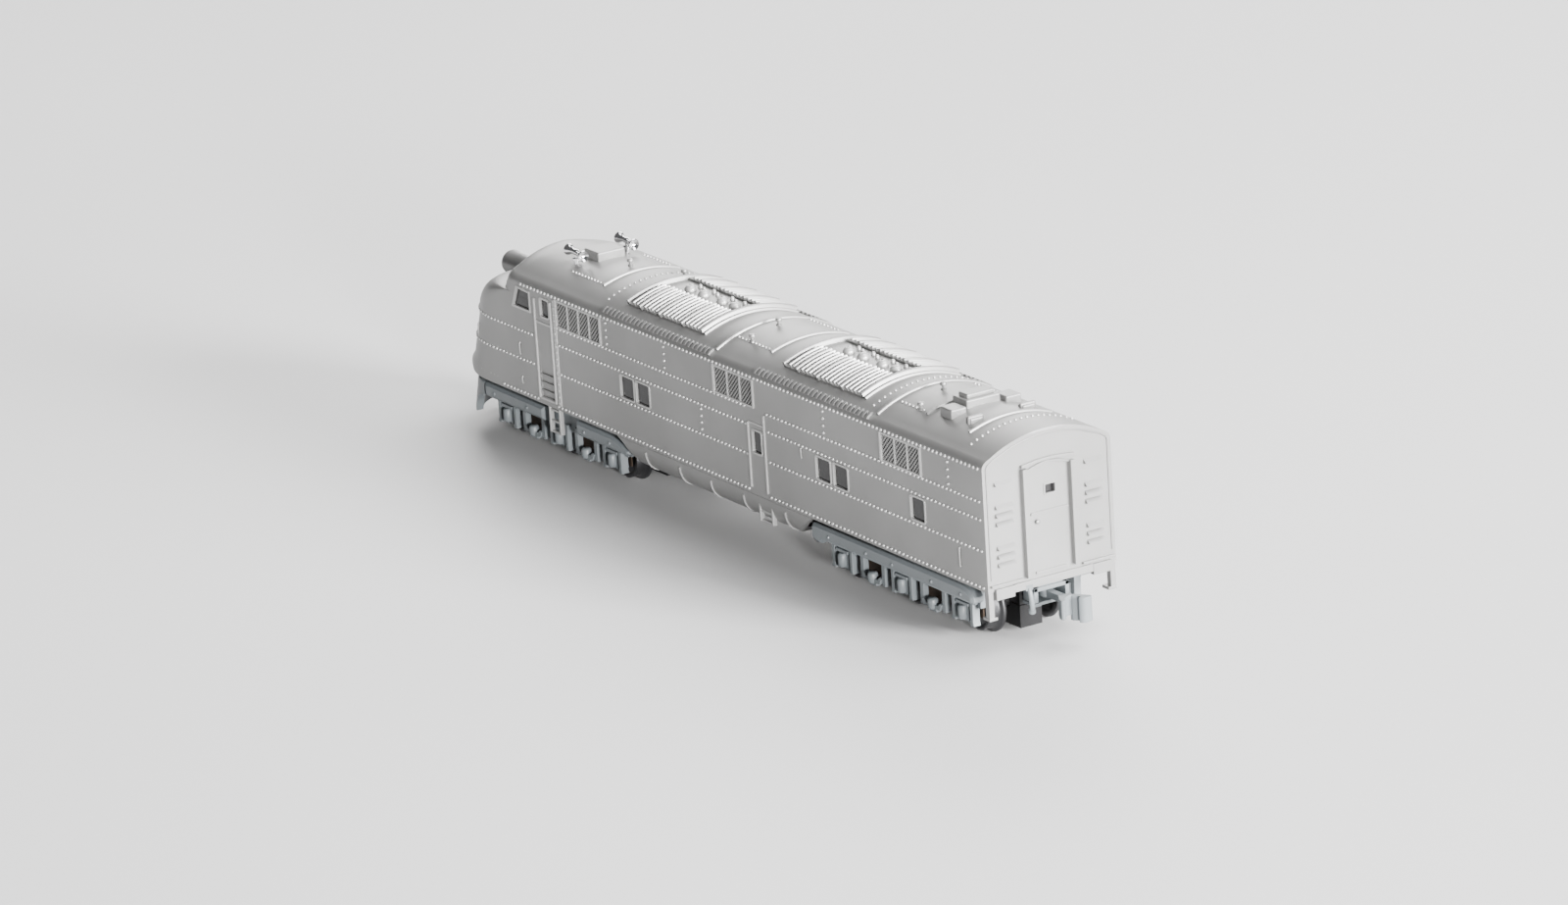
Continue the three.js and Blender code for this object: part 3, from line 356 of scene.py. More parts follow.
def settle(thing, name, material, sharp=30, tools=()):
    """Freezes an object's modifiers into a plain mesh and takes its cutting tools away."""
    bpy.context.view_layer.update()
    seen = thing.evaluated_get(bpy.context.evaluated_depsgraph_get())
    mesh = bpy.data.meshes.new_from_object(seen)
    mesh.materials.clear()
    mesh.materials.append(material)
    mesh.polygons.foreach_set("material_index", [0] * len(mesh.polygons))
    mesh.polygons.foreach_set("use_smooth", [True] * len(mesh.polygons))
    mesh.set_sharp_from_angle(angle=math.radians(sharp))
    made = in_scene(name, mesh)
    for spare in (thing, *tools):
        bpy.data.objects.remove(spare)
    return made

def carve(thing, tool, how='DIFFERENCE'):
    """Cuts a tool out of an object, or keeps only what lies inside it."""
    step = thing.modifiers.new("carve", 'BOOLEAN')
    step.operation, step.solver, step.object = how, 'EXACT', tool

WINDOW_LOW, WINDOW_TOP = 13.8, 16.8
WINDOWS = ((18.2, 21.5), (14.4, 17.65), (-28.35, -25.1), (-32.3, -29.1), (-49.45, -46.4), (-12.45, -10.4))
CAB_WINDOW = ((43.7, 20.35), (48.35, 20.35), (47.0, 23.25), (43.7, 23.05))
SCREEN_PANE = ((0.75, 23.2), (2.0, 22.75), (6.9, 22.55), (6.5, 24.4), (0.75, 24.85))
GRILLES = ((26.0, 36.8), (-10.9, -2.0), (-48.9, -40.5))
GRILLE_LOW, GRILLE_TOP = 19.95, 23.3
LAMP_Z, LAMP_R, LAMP_BORE_R = 21.0, 1.55, 1.2

CUT_IN, CUT_OUT, CLEAR = 7, 11, 12

silver = surface("silver_paint", ((0.205, 0.204, 0.201), (0.242, 0.241, 0.238)), 0.5, 0.40, 9000, 0.000006, 60.0)
outer = hull("outer_skin", 0.0, 7.2)
round_edges(outer, 0.55, 4, 60)
inner = hull("inner_skin", WALL, 6.0)
openings = Shape().block(-70, 75, -CLEAR, CLEAR, 5, SHELL_BOTTOM)
for s in (1, -1):
    for x0, x1 in WINDOWS:
        openings.block(x0, x1, s * CUT_IN, s * CUT_OUT, WINDOW_LOW, WINDOW_TOP)
    openings.push('y', list(CAB_WINDOW), s * CUT_IN, s * CUT_OUT)
    openings.block(38.75, 41.15, s * CUT_IN, s * CUT_OUT, 20.3, 23.0)
    openings.push('x', [(s * y, z) for y, z in SCREEN_PANE], 49.3, 60)
    for x0, x1 in GRILLES:
        openings.block(x0, x1, s * (HALF_WIDTH - 0.25), s * CUT_OUT, GRILLE_LOW, GRILLE_TOP)
    openings.block(38.75, 42.1, s * (HALF_WIDTH - 0.22), s * CUT_OUT, 9.2, 12.9)
openings.block(-64, -60.5, -1.0, 0.5, 18.8, 20.0)
openings.turn('x', [(0, 50), (LAMP_BORE_R, 50), (LAMP_BORE_R, 60), (0, 60)], 32, (0, 0, LAMP_Z))
cutter = openings.make("opening_tool", silver, None)
carve(outer, inner)
carve(outer, cutter)
skin = settle(outer, "skin", silver, 30, (inner, cutter))
even = skin.modifiers.new("even_shading", 'WEIGHTED_NORMAL')
even.keep_sharp, even.weight = True, 80
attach(skin, "chassis")
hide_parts("body_shell")

# ---- Rivet rows ----
# Small round rivet heads moulded with the body, in level rows along both sides and round the
# nose, in short upright rows at the panel joints, and in rows across and along the roof. Their
# paint is made lighter as a painted highlight, and that of raised edges elsewhere on the body a
# little less, also as a painted highlight.
class Tree:
    """A Geometry Nodes tree that ends by making its instances real and giving them a finish."""
    def __init__(self, name, **inputs):
        self.group, self.keys = bpy.data.node_groups.new(name, 'GeometryNodeTree'), {}
        face = self.group.interface
        for label, kind in (*inputs.items(), ("Finish", "Material")):
            socket = face.new_socket(name=label, in_out='INPUT', socket_type="NodeSocket" + kind)
            self.keys[label] = socket.identifier
        face.new_socket(name="Result", in_out='OUTPUT', socket_type="NodeSocketGeometry")
        self.given = self.node("NodeGroupInput", {})

    def node(self, kind, inputs, **settings):
        """The outputs of a new node; each input is a plain value or the output of another node."""
        made = self.group.nodes.new(kind)
        for key, value in settings.items():
            setattr(made, key, value)
        for key, value in inputs.items():
            if isinstance(value, bpy.types.NodeSocket):
                self.group.links.new(value, made.inputs[key])
            else:
                made.inputs[key].default_value = value
        return made.outputs

    def close(self, geometry):
        """Joins the last geometry to the output."""
        real = self.node("GeometryNodeRealizeInstances", {"Geometry": geometry})[0]
        finish = {"Geometry": real, "Material": self.given["Finish"]}
        self.node("NodeGroupOutput", {"Result": self.node("GeometryNodeSetMaterial", finish)[0]})

def grow(name, mesh, tree, settings, body):
    """Runs a node tree on a mesh and keeps the result as a plain mesh that rides on a body."""
    seed_mesh = in_scene(name + "_seed", mesh)
    step = seed_mesh.modifiers.new("grow", 'NODES')
    step.node_group = tree.group
    for key, value in settings.items():
        step[tree.keys[key]] = value
    bpy.context.view_layer.update()
    seen = seed_mesh.evaluated_get(bpy.context.evaluated_depsgraph_get())
    plain = bpy.data.meshes.new_from_object(seen)
    plain.name = name
    plain.polygons.foreach_set("use_smooth", [True] * len(plain.polygons))
    plain.set_sharp_from_angle(angle=math.radians(40))
    if "facing" in plain.attributes:
        plain.attributes.remove(plain.attributes["facing"])
    bpy.data.objects.remove(seed_mesh)
    grown = in_scene(name, plain)
    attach(grown, body)
    return grown

STUDS = Tree("studs", Points="Geometry", Radius="Float", Height="Float", Spread="Float", Seed="Int")
given = STUDS.given
dome = STUDS.node("GeometryNodeMeshUVSphere", {"Segments": 8, "Rings": 5, "Radius": 1.0})["Mesh"]
facing = STUDS.node("GeometryNodeInputNamedAttribute", {"Name": "facing"}, data_type='FLOAT_VECTOR')["Attribute"]
turned = STUDS.node("FunctionNodeAlignRotationToVector", {"Vector": facing}, axis='Z')["Rotation"]
size = STUDS.node("ShaderNodeCombineXYZ", {"X": given["Radius"], "Y": given["Radius"], "Z": given["Height"]})["Vector"]
low, high = [STUDS.node("ShaderNodeMath", {0: 1.0, 1: given["Spread"]}, operation=how)[0]
             for how in ('SUBTRACT', 'ADD')]
vary = STUDS.node("FunctionNodeRandomValue", {2: low, 3: high, "Seed": given["Seed"]}, data_type='FLOAT')[1]
scale = STUDS.node("ShaderNodeVectorMath", {0: size, "Scale": vary}, operation='SCALE')["Vector"]
STUDS.close(STUDS.node("GeometryNodeInstanceOnPoints", {
    "Points": given["Points"], "Instance": dome, "Rotation": turned, "Scale": scale})["Instances"])

def studs(name, spots, radius, height, spread, seed, finish, body):
    """Domes at (place, facing) pairs in millimetres."""
    mesh = bpy.data.meshes.new(name + "_spots")
    mesh.from_pydata([tuple(c * MM for c in place) for place, facing in spots], [], [])
    aim = mesh.attributes.new("facing", 'FLOAT_VECTOR', 'POINT')
    aim.data.foreach_set("vector", [c for place, facing in spots for c in facing])
    return grow(name, mesh, STUDS, {"Radius": radius * MM, "Height": height * MM, "Spread": spread,
                                    "Seed": seed, "Finish": finish}, body)

RIVET_PITCH = 0.88
DOOR_GAPS = ((38.0, 42.9), (-13.7, -9.1))

def spaced(a, b, pitch=RIVET_PITCH):
    """Even places from one end to the other, near a wanted pitch."""
    count = max(1, round(abs(b - a) / pitch))
    return [a + (b - a) * i / count for i in range(count + 1)]

def nose_row(z, start_x):
    """Evenly spaced places round the nose at one height, from the left side to the right."""
    front, side = nose_at(z)
    half = half_at(z)
    path = [(start_x, half)] + plan_curve(120, front, side, half)
    path += [(x, -y) for x, y in reversed(path[:-1])]
    spots, left = [], 0.0
    for (ax, ay), (bx, by) in zip(path, path[1:]):
        length = math.hypot(bx - ax, by - ay)
        while left <= length and length > 0:
            t = left / length
            facing = ((ay - by) / length, (bx - ax) / length, 0.3)
            spots.append(((ax + (bx - ax) * t, ay + (by - ay) * t, z), facing))
            left += RIVET_PITCH
        left -= length
    return spots

side_spots = []
for s in (1, -1):
    for z, front_end in ((23.75, 45.8), (19.6, 37.0), (17.3, 44.6), (13.3, 44.6), (8.6, 52.0)):
        for x in spaced(-61.6, front_end):
            in_door = any(a < x < b for a, b in DOOR_GAPS)
            if not in_door or z > 23:
                side_spots.append(((x, s * half_at(z), z), (0, s, 0)))
    for x, low, top in ((10.15, 20.3, 23.1), (-27.3, 20.3, 23.1), (1.8, 14.0, 16.7), (-55.0, 20.3, 23.1),
                        (24.4, 20.3, 23.1)):
        side_spots += [((x, s * HALF_WIDTH, z), (0, s, 0)) for z in spaced(low, top)]
    side_spots += [((37.4, s * (HALF_WIDTH + 0.03), z), (0, s, 0)) for z in spaced(9.2, 23.2)]
nose_spots = []
for z, start_x, sunk in ((17.25, 45.4, 0.0), (13.25, 45.4, 0.0), (9.35, 52.8, 0.18)):
    for (x, y, level), (along_x, along_y, tilt) in nose_row(z, start_x):
        nose_spots.append(((x - along_x * sunk, y - along_y * sunk, level), (along_x, along_y, tilt)))
# Rivet heads get a lighter silver than the body: a painted highlight for the light they catch.
rivet_highlight_silver = surface("silver_painted_highlight", ((0.50, 0.499, 0.493), (0.60, 0.598, 0.592)), 0.6, 0.33, 9000, 0.000004, 60.0)
# Raised edges get a silver between the body's and the rivets': a painted highlight, a little weaker.
edge_highlight_silver = surface("edge_silver_painted_highlight", ((0.36, 0.359, 0.354), (0.42, 0.419, 0.414)), 0.5, 0.38, 9000, 0.000005, 60.0)
studs("side_rivets", side_spots, 0.23, 0.21, 0.04, 11, rivet_highlight_silver, "chassis")
studs("nose_rivets", nose_spots, 0.2, 0.19, 0.05, 12, rivet_highlight_silver, "chassis")

roof_spots = []

def on_roof(x, y, lift=0.0):
    """A point on the roof, raised by the lift, and the way the roof faces there."""
    rise = roof_z(y) - ROOF_CENTRE
    return (x, y * (1 + lift / ROOF_RADIUS), ROOF_CENTRE + rise * (1 + lift / ROOF_RADIUS)), (0, y, rise)

for x in (26.6, -36.0, -57.4):
    roof_spots += [on_roof(x, y) for y in spaced(-7.4, 7.4, 0.8)]
for s in (1, -1):
    for y, x0, x1 in ((5.5, 31.6, 38.6), (5.4, -9.1, -2.0), (5.4, -44.2, -39.4)):
        roof_spots += [on_roof(x, s * y) for x in spaced(x0, x1, 0.75)]
studs("roof_rivets", roof_spots, 0.2, 0.19, 0.05, 13, rivet_highlight_silver, "chassis")

# ---- Side doors and posts ----
# Each side has a cab door with a ladder recess below its window and a plain door amidships.
# Raised strips frame both; all of it is one moulding with the body, and the strips and grab irons are painted lighter
# as a painted highlight.
def wall(s, out):
    """A distance out from the side wall of one side, negative when inside it."""
    return s * (HALF_WIDTH + out)

trim = Shape()
for s in (1, -1):
    face, proud = wall(s, -0.3), wall(s, 0.2)
    for x, low, top in ((42.5, 8.9, 22.6), (38.4, 8.9, 22.9), (-9.5, 9.0, 17.7), (-13.3, 8.9, 19.3)):
        trim.block(x - 0.17, x + 0.17, face, proud, low, top)
    trim.block(37.05, 37.75, face, wall(s, 0.13), 8.8, 23.4)
    trim.block(38.4, 42.5, face, wall(s, 0.1), 19.3, 19.65)
    trim.block(38.4, 42.5, face, wall(s, 0.1), 8.75, 9.1)
    trim.block(-13.3, -9.5, face, wall(s, 0.1), 17.55, 17.85)
trim.make("door_trim", edge_highlight_silver, "chassis", 0.09)
rungs = Shape()
for s in (1, -1):
    for z in spaced(9.9, 12.1, 1.1):
        rungs.block(38.75, 42.1, wall(s, -0.3), wall(s, 0.02), z, z + 0.3)
rungs.make("door_rungs", silver, "chassis", 0.07)
irons = Shape()
for s in (1, -1):
    for x, low, top in ((47.0, 13.9, 15.5), (46.9, 9.9, 10.8), (59.2, 13.4, 15.3), (-21.8, 15.7, 17.0),
                        (-56.8, 10.2, 12.6)):
        y, out = s * skin_y(x, (low + top) / 2), s * 0.12
        irons.tube([(x, y - s * 0.2, low), (x, y + out * 0.7, low), (x, y + out, low + 0.15),
                    (x, y + out, top - 0.15), (x, y + out * 0.7, top), (x, y - s * 0.2, top)], 0.1, 8)
irons.make("grab_irons", edge_highlight_silver, "chassis", sharp=60)

# ---- Side windows ----
# Square windows with rounded corners, framed by a thin raised bead of the body moulding, painted lighter as a painted
# highlight.
# One clear strip is clipped in behind each row, coloured dark as painted shade for the shadowed inside.
def rounded(x0, x1, z0, z1, radius, steps=6):
    """A rectangle outline with rounded corners."""
    line = []
    for cx, cz, start in ((x1 - radius, z1 - radius, 0), (x0 + radius, z1 - radius, 90),
                          (x0 + radius, z0 + radius, 180), (x1 - radius, z0 + radius, 270)):
        for i in range(steps + 1):
            a = math.radians(start + 90 * i / steps)
            line.append((cx + radius * math.cos(a), cz + radius * math.sin(a)))
    return line

def ring(shape, axis, outer_line, inner_line, a, b):
    """A closed frame between two outlines of the same count, pushed along one axis."""
    put, n = PLACE[axis], len(outer_line)
    verts = [put(p, d) for d in (a, b) for line in (outer_line, inner_line) for p in line]
    faces = []
    for i in range(n):
        k = (i + 1) % n
        faces += [(i, k, n + k, n + i), (2 * n + i, 3 * n + i, 3 * n + k, 2 * n + k),
                  (i, 2 * n + i, 2 * n + k, k), (n + i, n + k, 3 * n + k, 3 * n + i)]
    if ((signed_area(outer_line) < 0) != (axis == 'y')) == (b < a):
        faces = [face[::-1] for face in faces]
    shape.add(verts, faces)

def grown_outline(line, by):
    """Moves a convex outline outwards from its own centre by a set distance along its normals."""
    turn = 1 if signed_area(line) > 0 else -1
    out = []
    for i, c in enumerate(line):
        p, q = line[i - 1], line[(i + 1) % len(line)]
        e1 = Vector((c[0] - p[0], c[1] - p[1])).normalized()
        e2 = Vector((q[0] - c[0], q[1] - c[1])).normalized()
        n1, n2 = Vector((e1.y, -e1.x)) * turn, Vector((e2.y, -e2.x)) * turn
        mid = n1 + n2
        mid = mid / max(0.3, mid.dot(n1))
        out.append((c[0] + mid.x * by, c[1] + mid.y * by))
    return out

frames = Shape()
for s in (1, -1):
    for x0, x1 in WINDOWS:
        inside = rounded(x0 + 0.08, x1 - 0.08, WINDOW_LOW + 0.08, WINDOW_TOP - 0.08, 0.25)
        ring(frames, 'y', grown_outline(inside, 0.28), inside, wall(s, -0.6), wall(s, 0.12))
    cab = [(43.9, 20.55), (48.0, 20.55), (46.85, 23.05), (43.9, 22.9)]
    ring(frames, 'y', grown_outline(cab, 0.32), cab, wall(s, -0.7), wall(s, 0.1))
    door = rounded(38.95, 40.95, 20.5, 22.8, 0.3)
    ring(frames, 'y', grown_outline(door, 0.3), door, wall(s, -0.6), wall(s, 0.1))
frames.make("window_frames", edge_highlight_silver, "chassis", 0.05)

# ---- Side grilles ----
# Long air intakes under the eaves: a fine diamond mesh in a plain rim, parted by upright posts.
# The mesh is moulded with the body; a dark plate behind it is painted shade for its hollows, and its rim and posts are
# painted lighter as a painted highlight.
WIRES = Tree("wires", Lines="Geometry", Radius="Float", Sides="Int")
given = WIRES.given
curves = WIRES.node("GeometryNodeMeshToCurve", {"Mesh": given["Lines"]})["Curve"]
section = WIRES.node("GeometryNodeCurvePrimitiveCircle", {"Radius": given["Radius"], "Resolution": given["Sides"]})
WIRES.close(WIRES.node("GeometryNodeCurveToMesh", {
    "Curve": curves, "Profile Curve": section["Curve"], "Fill Caps": True})["Mesh"])
MESH_PITCH = 0.62
rims, backs = Shape(), Shape()
line_ends = []
for s in (1, -1):
    for x0, x1 in GRILLES:
        hole = rounded(x0 + 0.05, x1 - 0.05, GRILLE_LOW + 0.05, GRILLE_TOP - 0.05, 0.2, 3)
        ring(rims, 'y', grown_outline(hole, 0.3), hole, wall(s, -0.2), wall(s, 0.12))
        for x in (x0 - 0.2, x1 + 0.2):
            rims.block(x - 0.17, x + 0.17, wall(s, -0.2), wall(s, 0.22), 19.75, 23.55)
        posts = round((x1 - x0) / 2.7)
        for i in range(1, posts):
            x = x0 + (x1 - x0) * i / posts
            rims.block(x - 0.16, x + 0.16, wall(s, -0.2), wall(s, 0.08), GRILLE_LOW, GRILLE_TOP)
        height = GRILLE_TOP - GRILLE_LOW
        for lean in (1, -1):
            y = s * (HALF_WIDTH - 0.09 - 0.05 * lean)
            offset = x0 - height + MESH_PITCH
            while offset < x1:
                a, b = max(offset, x0), min(offset + height, x1)
                if b - a > 0.2:
                    low, top = GRILLE_LOW + (a - offset), GRILLE_LOW + (b - offset)
                    if lean < 0:
                        low, top = GRILLE_LOW + GRILLE_TOP - low, GRILLE_LOW + GRILLE_TOP - top
                    line_ends += [(a * MM, y * MM, low * MM), (b * MM, y * MM, top * MM)]
                offset += MESH_PITCH
        backs.block(x0 + 0.02, x1 - 0.02, wall(s, -0.26), wall(s, -0.2),
                    GRILLE_LOW + 0.02, GRILLE_TOP - 0.02)
rims.make("grille_rims", edge_highlight_silver, "chassis", 0.05)
line_mesh = bpy.data.meshes.new("grille_lines")
line_mesh.from_pydata(line_ends, [(i, i + 1) for i in range(0, len(line_ends), 2)], [])
grow("grille_mesh", line_mesh, WIRES, {"Radius": 0.1 * MM, "Sides": 6, "Finish": silver}, "chassis")
# The plate behind the mesh is dark: painted shade for the hollows of the intake.
grille_painted_shade = surface("grille_hollow_painted_shade", ((0.13, 0.13, 0.13), (0.17, 0.17, 0.168)), 0.3, 0.6, 6000, 0.000004)
backs.make("grille_backs", grille_painted_shade, "chassis")

# ---- Roof strips and hatches ----
# Low ribs cross the roof at the panel joints. Two long hatches stand between them, each with
# rows of cross slats on both sides of a sunk middle channel that holds the fan domes.
ROWS = Tree("rows", Part="Geometry", Count="Int", Step="Vector")
given = ROWS.given
places = ROWS.node("GeometryNodeMeshLine", {"Count": given["Count"], "Offset": given["Step"]}, mode='OFFSET')["Mesh"]
ROWS.close(ROWS.node("GeometryNodeInstanceOnPoints", {"Points": places, "Instance": given["Part"]})["Instances"])

def row_of(name, shape, count, step, finish, body):
    """One part, given in millimetres, repeated in a row."""
    mesh = bpy.data.meshes.new(name + "_part")
    mesh.from_pydata([tuple(c * MM for c in v) for v in shape.verts], [], shape.faces)
    settings = {"Count": count, "Step": tuple(c * MM for c in step), "Finish": finish}
    return grow(name, mesh, ROWS, settings, body)

def sweep(shape, section, stations):
    """A cross section of (x, lift) pairs carried across the roof curve through stations in y."""
    n = len(section)
    verts = [on_roof(x, y, lift)[0] for y in stations for x, lift in section]
    faces = [tuple(range(n)), tuple(reversed(range(len(verts) - n, len(verts))))]
    for i in range(len(stations) - 1):
        for j in range(n):
            k = (j + 1) % n
            faces.append((i * n + j, (i + 1) * n + j, (i + 1) * n + k, i * n + k))
    if stations[-1] < stations[0]:
        faces = [tuple(reversed(face)) for face in faces]
    return shape.add(verts, faces)

def bar(x, half, low, top):
    """The rounded cross section of one strip."""
    return [(x - half, low), (x + half, low), (x + half, top - 0.1), (x + half * 0.6, top),
            (x - half * 0.6, top), (x - half, top - 0.1)]

RIBS = ((30.4, 5.8), (-1.1, 8.3), (-10.2, 5.8), (-38.2, 8.3), (-45.5, 5.8), (-55.0, 6.0))
HATCHES = ((4.0, 22.4), (-33.3, -15.0))
HEAVY_SLATS = (4, 10, 15)
SLAT_START = 1.0
HATCH_HALF, CHANNEL_HALF, HATCH_RISE = 7.0, 2.0, 0.78
SLAT_PITCH = 0.92
ribs = Shape()
for x, half in RIBS:
    sweep(ribs, bar(x, 0.22, -0.3, 0.28), spaced(-half, half, 0.6))
ribs.make("roof_ribs", silver, "chassis", sharp=50)

trays, fans = Shape(), Shape()
for number, (x0, x1) in enumerate(HATCHES, 1):
    for s in (1, -1):
        across = spaced(s * CHANNEL_HALF, s * HATCH_HALF, 0.6)
        sweep(trays, [(x0, -0.3), (x1, -0.3), (x1, 0.22), (x0, 0.22)], across)
        sweep(trays, [(x0 + 0.4, 0.1), (x1 - 0.4, 0.1), (x1 - 0.4, 0.4), (x0 + 0.4, 0.4)],
              [s * CHANNEL_HALF, s * (CHANNEL_HALF + 0.2)])
        for place in HEAVY_SLATS:
            sweep(trays, bar(x0 + SLAT_START + place * SLAT_PITCH, 0.2, 0.1, HATCH_RISE + 0.06),
                  spaced(s * CHANNEL_HALF, s * (HATCH_HALF + 0.15), 0.6))
        slat = sweep(Shape(), bar(x0 + SLAT_START, 0.15, 0.1, HATCH_RISE),
                     spaced(s * (CHANNEL_HALF + 0.1), s * (HATCH_HALF - 0.05), 0.7))
        side = "left" if s > 0 else "right"
        count = int((x1 - x0 - 2 * SLAT_START) / SLAT_PITCH) + 1
        # The slats take the lighter edge silver, a painted highlight.
        row_of(f"hatch_{number}_slats_{side}", slat, count, (SLAT_PITCH, 0, 0), edge_highlight_silver, "chassis")
    whole = spaced(-HATCH_HALF, HATCH_HALF, 0.6)
    for x, half, rise in ((x0 + 0.25, 0.25, HATCH_RISE), (x1 - 0.25, 0.25, HATCH_RISE), (x0 - 0.35, 0.16, 0.3)):
        sweep(trays, bar(x, half, -0.3, rise), whole)
    sweep(trays, [(x0, -0.3), (x1, -0.3), (x1, 0.1), (x0, 0.1)], spaced(-CHANNEL_HALF, CHANNEL_HALF, 0.5))
    first = x1 - 5.1
    for dx in (0, -3.3, -7.7, -10.7):
        fans.turn('z', [(0, -0.2), (0.78, -0.2), (0.8, 0.3), (0.72, 0.52), (0.5, 0.72), (0.25, 0.8), (0, 0.82)], 20,
                  (first + dx, 0.55, ROOF_Z))
        for boss_x, y, r in ((1.15, -0.35, 0.36), (-1.2, -0.75, 0.28), (0.2, -1.1, 0.3)):
            fans.turn('z', [(0, -0.2), (r, -0.2), (r, 0.35), (r * 0.7, 0.52), (0, 0.58)], 12,
                      (first + dx + boss_x, y, ROOF_Z))
trays.make("hatch_trays", silver, "chassis", sharp=50)
# The fan domes take the lighter edge silver, a painted highlight.
fans.make("fan_domes", edge_highlight_silver, "chassis", sharp=50)

def eave(t, lift):
    """A point on the eave curve between the side wall and the roof, raised by the lift."""
    start_z = ROOF_CENTRE + math.sqrt(ROOF_RADIUS ** 2 - ROOF_ARC_HALF_WIDTH ** 2)
    z, y = eave_curve(t, EAVE_Z, HALF_WIDTH, start_z, ROOF_ARC_HALF_WIDTH)
    bend_z = (EAVE_Z + start_z * 2) / 3
    dy = 2 * t * (ROOF_ARC_HALF_WIDTH - HALF_WIDTH)
    dz = 2 * (1 - t) * (bend_z - EAVE_Z) + 2 * t * (start_z - bend_z)
    length = math.hypot(dy, dz)
    return y + dz / length * lift, z - dy / length * lift

TICK_PITCH = 0.95
for s, side in ((1, "left"), (-1, "right")):
    for tag, x_front, x_back in (("front", 26.4, -0.8), ("rear", -10.8, -37.4)):
        outline = [eave(t, 0.3) for t in (0.45, 0.65, 0.85, 0.98)] + [eave(t, -0.2) for t in (0.98, 0.45)]
        tick = Shape().push('x', [(s * y, z) for y, z in outline], x_back, x_back + 0.45)
        count = int((x_front - x_back) / TICK_PITCH)
        row_of(f"eave_ticks_{tag}_{side}", tick, count, (TICK_PITCH, 0, 0), silver, "chassis")

# ---- Roof boxes and knobs ----
# A cooling box stands between the horns; behind the second hatch are the two-step steam box,
# a plain box on each side of it and two small vents. A few filler knobs dot the roof.
boxes = Shape()
boxes.block(37.6, 41.2, -2.1, 2.1, 26.5, 28.2)
boxes.block(-49.4, -46.2, -2.5, 2.5, 26.5, 28.0)
boxes.block(-48.8, -46.8, -2.0, 2.0, 27.9, 28.55)
for s in (1, -1):
    boxes.block(-50.0, -47.4, s * 2.9, s * 5.2, 26.0, 27.5)
    boxes.block(-53.6, -52.4, s * 2.9, s * 4.8, 26.0, 27.15)
    boxes.block(-53.4, -52.9, s * 2.7, s * 5.0, 26.0, 27.4)
boxes.make("roof_boxes", silver, "chassis", 0.22, 3)
knobs = Shape()
for x, y in ((-3.5, 0.3), (-4.8, 5.2), (-41.0, 0.3), (-43.6, 5.4), (33.0, 0.0), (24.5, -3.0)):
    knobs.turn('z', [(0, -0.4), (0.36, -0.4), (0.36, 0.1), (0.2, 0.2), (0.2, 0.45), (0.42, 0.55), (0.46, 0.75),
                     (0.34, 0.95), (0, 1.0)], 14, (x, y, roof_z(y)))
knobs.make("roof_knobs", silver, "chassis", sharp=50)

# ---- Air horns ----
# A pair of bright turned double horns, one near each side of the cab roof, bells facing both
# ways on a thin post that is pushed into a hole in the roof.
chrome = surface("horn_chrome", ((0.80, 0.80, 0.81), (0.88, 0.88, 0.89)), 1.0, 0.14, 5000, 0.000003, 300.0, 0.04)
HORN_X, HORN_Y, HORN_Z = 40.2, 3.9, 28.2
BELL = [(0, -0.3), (0.26, -0.3), (0.3, 0.5), (0.4, 0.95), (0.53, 1.3), (0.68, 1.55), (0.76, 1.75), (0.78, 1.9),
        (0.72, 1.95), (0.62, 1.88), (0.46, 1.7), (0.24, 1.55), (0, 1.5)]
LOW_BELL_DROP = 0.2
for s, side in ((1, "left"), (-1, "right")):
    horn, y = Shape(), s * HORN_Y
    horn.turn('x', BELL, 28, (HORN_X, y, HORN_Z))
    horn.turn('x', [(r, -d) for r, d in reversed(BELL)], 28, (HORN_X, y, HORN_Z - LOW_BELL_DROP))
    horn.turn('x', [(0, -0.55), (0.36, -0.55), (0.42, -0.4), (0.42, 0.4), (0.36, 0.55), (0, 0.55)], 20,
              (HORN_X, y, HORN_Z))
    horn.turn('z', [(0, -1.95), (0.32, -1.95), (0.32, -1.1), (0.55, -1.05), (0.55, -0.8), (0.26, -0.65), (0.22, -0.2),
                    (0, -0.2)], 18, (HORN_X, y, HORN_Z))
    made = horn.make(f"horn_body_{side}", chrome, "chassis", sharp=50)
    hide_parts(f"horn_{side}")

# ---- Headlight and windscreen ----
# The lamp barrel grows out of the nose top, moulded with the body, with a turned rim and a
# clear domed lens. The cab glazing is one clear insert behind thin screen frames.
barrel = Shape()
barrel.turn('x', [(LAMP_BORE_R, 54.3), (LAMP_R, 54.3), (LAMP_R, 63.7), (LAMP_R + 0.1, 63.85), (LAMP_R + 0.1, 64.2),
                  (LAMP_R - 0.1, 64.4), (LAMP_BORE_R + 0.08, 64.4), (LAMP_BORE_R, 64.3), (LAMP_BORE_R, 54.3)], 40,
            (0, 0, LAMP_Z))
barrel.make("lamp_barrel", silver, "chassis", sharp=40)

def glassy(name, tone, rough, grain):
    """Clear plastic drawn in one opaque tone, with a glossy skin and faint flow marks; a dark tone is painted shade for
    the inside seen through it.
    """
    tones = (tone, tuple(c * 1.25 for c in tone))
    made = surface(name, tones, 0.0, rough, grain, 0.000002, 120.0, 0.03, 0.1)
    shader = made.node_tree.nodes["Principled BSDF"].inputs
    shader["IOR"].default_value, shader["Specular IOR Level"].default_value = 1.49, 0.25
    return made

